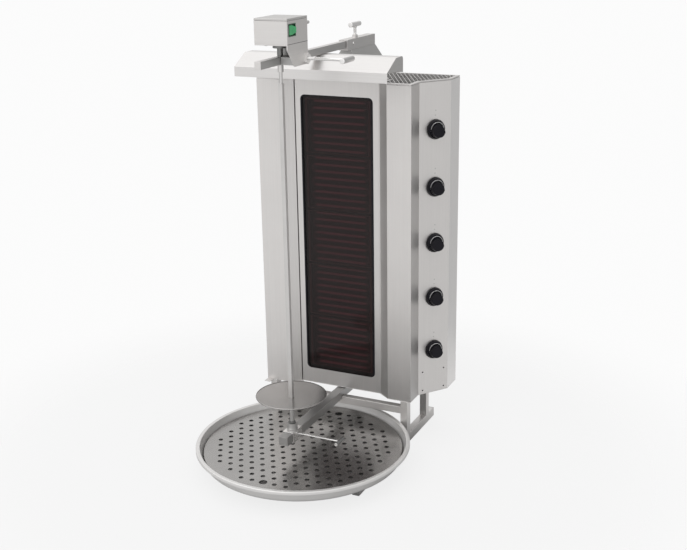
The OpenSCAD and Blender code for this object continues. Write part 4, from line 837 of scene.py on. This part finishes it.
def clampScrew(name, alongX, **changes):
    look = {**screwSet, **changes}
    low, high, middle, size = span(name)
    rod, pitch, sides = look["rod"], look["pitch"], look["sides"]
    half, barRadius = size.y / 2, (size.z if alongX else size.x) / 2
    length = (size.x if alongX else size.z) - barRadius
    threadEnd = length * look["threadShare"]
    count = int(threadEnd / pitch * look["rowsPerTurn"])
    rows = []
    for k in range(count + 1):
        z = threadEnd * k / count
        fade = min(1.0, (threadEnd - z) / pitch, z / pitch)
        row = []
        for i, (x, y) in enumerate(circle(0, 0, 1, sides)):
            phase = (z / pitch - i / sides) % 1
            r = rod - look["depth"] * abs(2 * phase - 1) * fade - max(0.0, look["chamfer"] - z)
            row.append(Vector((x * r, y * r, z)))
        rows.append(row)
    rows.append([Vector((x, y, length - barRadius * 0.6)) for x, y in circle(0, 0, rod, sides)])
    work = skin(rows, "capped")
    fillet = barRadius / 6
    profile = [(look["crown"], -half)] + arcPoints(barRadius - fillet, fillet - half, fillet, -90, 0, 4)
    profile += arcPoints(barRadius - fillet, half - fillet, fillet, 0, 90, 4) + [(look["crown"], half)]
    bar = turned(profile, look["handleSides"], ends="capped")
    bar.normal_update()
    for f in bar.faces:
        f.material_index = 0 if abs(f.normal.z) > 0.6 else 1  # ends and side
    bar.transform(Matrix.Translation((0, 0, length)) @ Matrix.Rotation(math.radians(-90), 4, "X"))
    mergeInto(work, bar)
    seat = length - barRadius
    profile = [(rod * 0.9, seat - look["collarLow"]), (rod + look["collarWide"], seat - look["collarHigh"])]
    profile += [(rod + look["shoulder"], length - barRadius * 0.75)]
    mergeInto(work, turned(profile, look["handleSides"], ends="capped"))
    if alongX:
        work.transform(Matrix.Translation((low.x, *middle.yz)) @ Matrix.Rotation(math.radians(90), 4, "Y"))
    else:
        work.transform(Matrix.Translation((*middle.xy, low.z)))
    place(name + "_piece", work, ["polished", look["side"]], [name], slotName="polished_steel")


clampScrew("sleeve_screw", False)
clampScrew("motor_screw", True, threadShare=0.42, side="spitSteel")
# Painted shade: the foot screw's handle side takes dark cast metal, its ends stay polished
clampScrew("foot_screw", True, rod=0.00275, pitch=0.001, depth=0.0004, threadShare=0.35, side="castMetal")
print("stage: disc and clamp screws")


def mean(points):
    return sum(points, Vector()) / len(points)


# The control face looks along its spindles
spindle, size = [v.co for v in nodes["spindle_1"].data.vertices], span("spindle_1")[3]
outwards, centre = Vector((size.x, -size.y, 0)), mean(spindle)
tips = [mean([p for p in spindle if (p - centre).dot(outwards) * side > 0]) for side in (1, -1)]
faceNormal = (tips[0] - tips[1]).normalized()
faceTurn = faceNormal.to_track_quat("Z", "Y").to_euler()
print("stage: control face normal", tuple(round(v, 4) for v in faceNormal))

# Panel screws: round heads with a recess
headSet = {
    "head": 0.004, "rise": 0.0022, "recess": 0.0011, "shank": 0.0018, "shankLength": 0.006,
    "crownShare": 0.97, "pitShare": 0.3, "sides": 32, "seatSlack": 0.0003,
}
head, rise, shank, sides = (headSet[key] for key in ("head", "rise", "shank", "sides"))
crown, pit = rise * headSet["crownShare"], head * headSet["pitShare"]
profile = [(shank, -headSet["shankLength"]), (shank, 0), (head, 0)]
profile += [(head * x, rise * z) for x, z in arcPoints(0, 0, 1, 15, 60, 3)] + [(pit, crown)]
screw = turned(profile + [(pit, crown - headSet["recess"])], sides, ends="open")
screw.verts.ensure_lookup_table()
screw.faces.new(screw.verts[-sides:])


# How far from round a solid looks along a direction
def unevenness(solid, direction):
    side = direction.orthogonal().normalized()
    first, second = (reach(solid, across) for across in (side, direction.cross(side)))
    return abs(first[1] - first[0] - second[1] + second[0])


spots, turns = [], []
for solid in islands("panel_screws"):
    direction = min((unitZ, unitY, unitX, faceNormal), key=lambda d: unevenness(solid, d))
    seat = reach(solid, direction)[1] - rise
    ring = [p for p in solid if abs(p.dot(direction) - seat) < headSet["seatSlack"]]
    spots.append(mean(ring or solid))
    turns.append(direction.to_track_quat("Z", "Y").to_euler())
heads = repeated("panel_screw_heads", spots, meshFrom(screw, "screw_head"), "polished", turns)
place("panel_screw_heads", heads, stands=["panel_screws"], slotName="polished_steel")
print("stage: panel screws,", len(spots))

# Knobs: a stepped skirt with a bright ring and a grip that points at the scale
knobSet = {
    "skirt": 0.009, "edge": 0.0012, "ring": 0.0018, "rise": 0.0016, "grip": 0.018, "reach": 0.0206,
    "gripWide": 0.0125, "nose": 0.004, "turn": -35, "segments": 96, "bore": 0.0032, "fine": 0.0004,
    "lean": 0.0022, "pitShare": 0.82, "ringShare": 0.84, "bevel": 0.0009, "lineHalf": 0.0006,
    "proud": 0.0001,
}


def knobMesh(outer, tall):
    skirt, edge, wide, rise, g = (knobSet[key] for key in ("skirt", "edge", "ring", "rise", "grip"))
    w, n, far, fine, bore = (knobSet[key] for key in ("gripWide", "nose", "reach", "fine", "bore"))
    slope, pit, foot = outer - knobSet["lean"], skirt * knobSet["pitShare"], skirt * knobSet["ringShare"]
    profile = [(bore, 0), (outer - fine, 0), (outer, fine), (outer, skirt / 3), (slope, skirt - edge)]
    profile += arcPoints(slope - edge, skirt - edge, edge, 10, 90, 4)
    profile += [(g + fine * 4, skirt - fine), (g + fine * 2, pit), (bore, pit)]
    work = turned(profile, knobSet["segments"])
    inner, top = g + fine, skirt + rise
    ring = turned([
        (inner + wide, foot), (inner + wide, skirt + rise * 0.3), (inner + wide * 0.7, top),
        (inner + wide * 0.3, top), (inner, foot)], knobSet["segments"])
    for f in ring.faces:
        f.material_index = 1
    mergeInto(work, ring)
    shape = [(far * 0.94, -n), (far * 0.94, n), (g * 0.5, w), (-g * 0.45, w), (-g * 0.75, w * 0.75)]
    shape += [(-g * 0.95, 0)]
    shape += arcPoints(0, 0, far, -150, -40, 5) + arcPoints(0, 0, far, -22, 0, 1)[:1]
    layers = ((1, 1, skirt * 0.7), (0.985, 0.985, (skirt + tall) / 2), (0.95, 0.93, tall))
    grip = skin([[Vector((x * wx, y * wy, z)) for x, y in shape] for wx, wy, z in layers], "capped")
    bmesh.ops.bevel(
        grip, geom=grip.edges[:], offset=knobSet["bevel"], segments=3, affect="EDGES", clamp_overlap=True)
    mergeInto(work, grip)
    half, proud = knobSet["lineHalf"], knobSet["proud"]
    boxMesh(work, (g * 0.3, -half, tall - proud * 2), (g * 0.88, half, tall + proud))
    return work


# Two small marks stand above each knob
markSet = {
    "near": 0.01, "far": 0.0225, "aside": 0.001, "radius": 0.0019, "deep": 0.0004, "thin": 0.00005,
    "lift": -0.00095,
}
acrossFace = unitZ.cross(faceNormal)
faceFrame = Matrix((acrossFace, unitZ, faceNormal)).transposed().to_4x4()
spin = Matrix.Rotation(math.radians(knobSet["turn"]), 4, "Z")
spots = []
for i in range(1, 6):
    knob, spindle = ([v.co for v in nodes[f"{kind}_{i}"].data.vertices] for kind in ("knob", "spindle"))
    (base, top), (z0, z1), axle = reach(knob, faceNormal), reach(knob, unitZ), mean(spindle)
    origin = axle + faceNormal * (base - axle.dot(faceNormal))
    work = knobMesh((z1 - z0) / 2, top - base - knobSet["proud"])
    work.transform(Matrix.Translation(origin) @ faceFrame @ spin)
    looks, name = ["knobPlastic", "ringMetal"], f"knob_{i}"
    place(name + "_piece", work, looks, [name], slotName="knob_plastic", angle=50)
    rim = origin + unitZ * ((z1 - z0) / 2) + faceNormal * markSet["lift"]
    spots += [rim + unitZ * markSet["near"], rim + unitZ * markSet["far"] + acrossFace * markSet["aside"]]
deep, thin, radius = markSet["deep"], markSet["thin"], markSet["radius"]
dot = turned([(thin * 2, -deep), (radius, -deep), (radius, thin), (thin * 2, thin * 2)], 24, ends="capped")
marks = repeated("index_marks", spots, meshFrom(dot, "dot"), "markPaint", [faceTurn] * len(spots))
place("index_marks", marks, carrier="control_panel", slotName=None)
print("stage: knobs")

# Light: a soft room with a few wide pale walls, seen in the steel; the camera itself sees white
roomSet = {
    "base": 0.5, "behind": 0.97,
    "walls": (
        ((-0.3, -0.95, 0.1), 0.35, 0.95, 0.47), ((0.8, -0.6, 0.0), 0.1, 1.0, 0.36),
        ((-0.15, -0.15, 0.97), 0.3, 1.0, 1.0), ((-0.55, 0.78, 0.3), 0.7, 1.0, 0.32)),
}
world = bpy.data.worlds.new("room")
bpy.context.scene.world = world
world.use_nodes = True
world.node_tree.nodes.clear()
room = Graph(world.node_tree)
seen = room.where(kind="Generated")
glow = roomSet["base"]
for direction, start, full, strength in roomSet["walls"]:
    towards = room.vector("DOT_PRODUCT", seen, Vector(direction).normalized(), "Value")
    glow = room.ramp(towards, start, full) * strength + glow
paper = (1, 1, 1, 1)
dim = room.node("Background", {"Color": paper, "Strength": glow})
white = room.node("Background", {"Color": paper, "Strength": roomSet["behind"]})
direct = room.node("LightPath", {}, "Is Camera Ray")
room.node("OutputWorld", {0: room.node("MixShader", {0: direct, 1: dim, 2: white})})

# Floor: as pale as the background for the camera, greyer in reflections, with a faint shadow
floorSet = {
    "radius": 3.2, "drop": 0.0005, "fadeFrom": 0.7, "fadeTo": 1.3, "glow": 0.8, "dimGlow": 0.68,
    "nearGlow": 0.06, "near": 0.22, "far": 0.5, "tint": 0.1,
}
bpy.ops.mesh.primitive_circle_add(
    vertices=64, radius=floorSet["radius"], fill_type="NGON", location=(0, 0, -floorSet["drop"]))
floor = bpy.context.object
floor.name = "floor"
s = Shader("floorPaper", Roughness=0.95, Specular_IOR_Level=0.0)
s.set("Base Color", (floorSet["tint"],) * 3)
s.set("Emission Color", (1.0, 1.0, 1.0))
direct, distance = s.node("LightPath", {}, "Is Camera Ray"), s.radius()
# Painted shade: in reflections the floor darkens close to the object, for the shade beneath it
brighter = floorSet["dimGlow"] - floorSet["nearGlow"]
reflected = s.ramp(distance, floorSet["near"], floorSet["far"]) * brighter + floorSet["nearGlow"]
s.set("Emission Strength", direct * (floorSet["glow"] - reflected) + reflected)
s.set("Alpha", 1 - s.ramp(distance, floorSet["fadeFrom"], floorSet["fadeTo"]))
floor.data.materials.append(s.material)
floor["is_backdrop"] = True

# A weak soft lamp from the front left
keySet = {"power": 9.0, "size": 2.4, "place": (-1.1, -2.4, 2.9), "aim": (0, 0, 0.6)}
lamp = bpy.data.lights.new("key", "AREA")
lamp.energy = keySet["power"]
lamp.size = keySet["size"]
key = linked("key", lamp)
key.location = keySet["place"]
key.rotation_euler = (Vector(keySet["aim"]) - key.location).to_track_quat("-Z", "Y").to_euler()

# Camera where the picture was taken from
cameraSet = {
    "side": 1.266, "back": 2.5991, "height": 1.3868, "azimuth": 25.52, "elevation": 17.75, "roll": -0.96,
    "lens": 58.98, "sensor": 36, "clipStart": 0.05, "clipEnd": 30,
}
az, el, ro = (math.radians(cameraSet[name]) for name in ("azimuth", "elevation", "roll"))
ahead = Vector((-math.sin(az) * math.cos(el), math.cos(az) * math.cos(el), -math.sin(el)))
right = Vector((math.cos(az), math.sin(az), 0))
up = right.cross(ahead)
right, up = math.cos(ro) * right + math.sin(ro) * up, math.cos(ro) * up - math.sin(ro) * right
view = bpy.data.cameras.new("view")
view.lens = cameraSet["lens"]
view.sensor_width = cameraSet["sensor"]
view.clip_start, view.clip_end = cameraSet["clipStart"], cameraSet["clipEnd"]
camera = linked("view", view)
spot = Vector((cameraSet["side"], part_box("column_right")[0].y - cameraSet["back"], cameraSet["height"]))
camera.matrix_world = Matrix.Translation(spot) @ Matrix((right, up, -ahead)).transposed().to_4x4()
bpy.context.scene.camera = camera
bpy.context.scene.view_settings.view_transform = "Standard"

newLow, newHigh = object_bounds()
for name, box in (("part", cadHigh - cadLow), ("dressed", newHigh - newLow)):
    print("stage: box in mm,", name, [round(v * 1000, 1) for v in box])
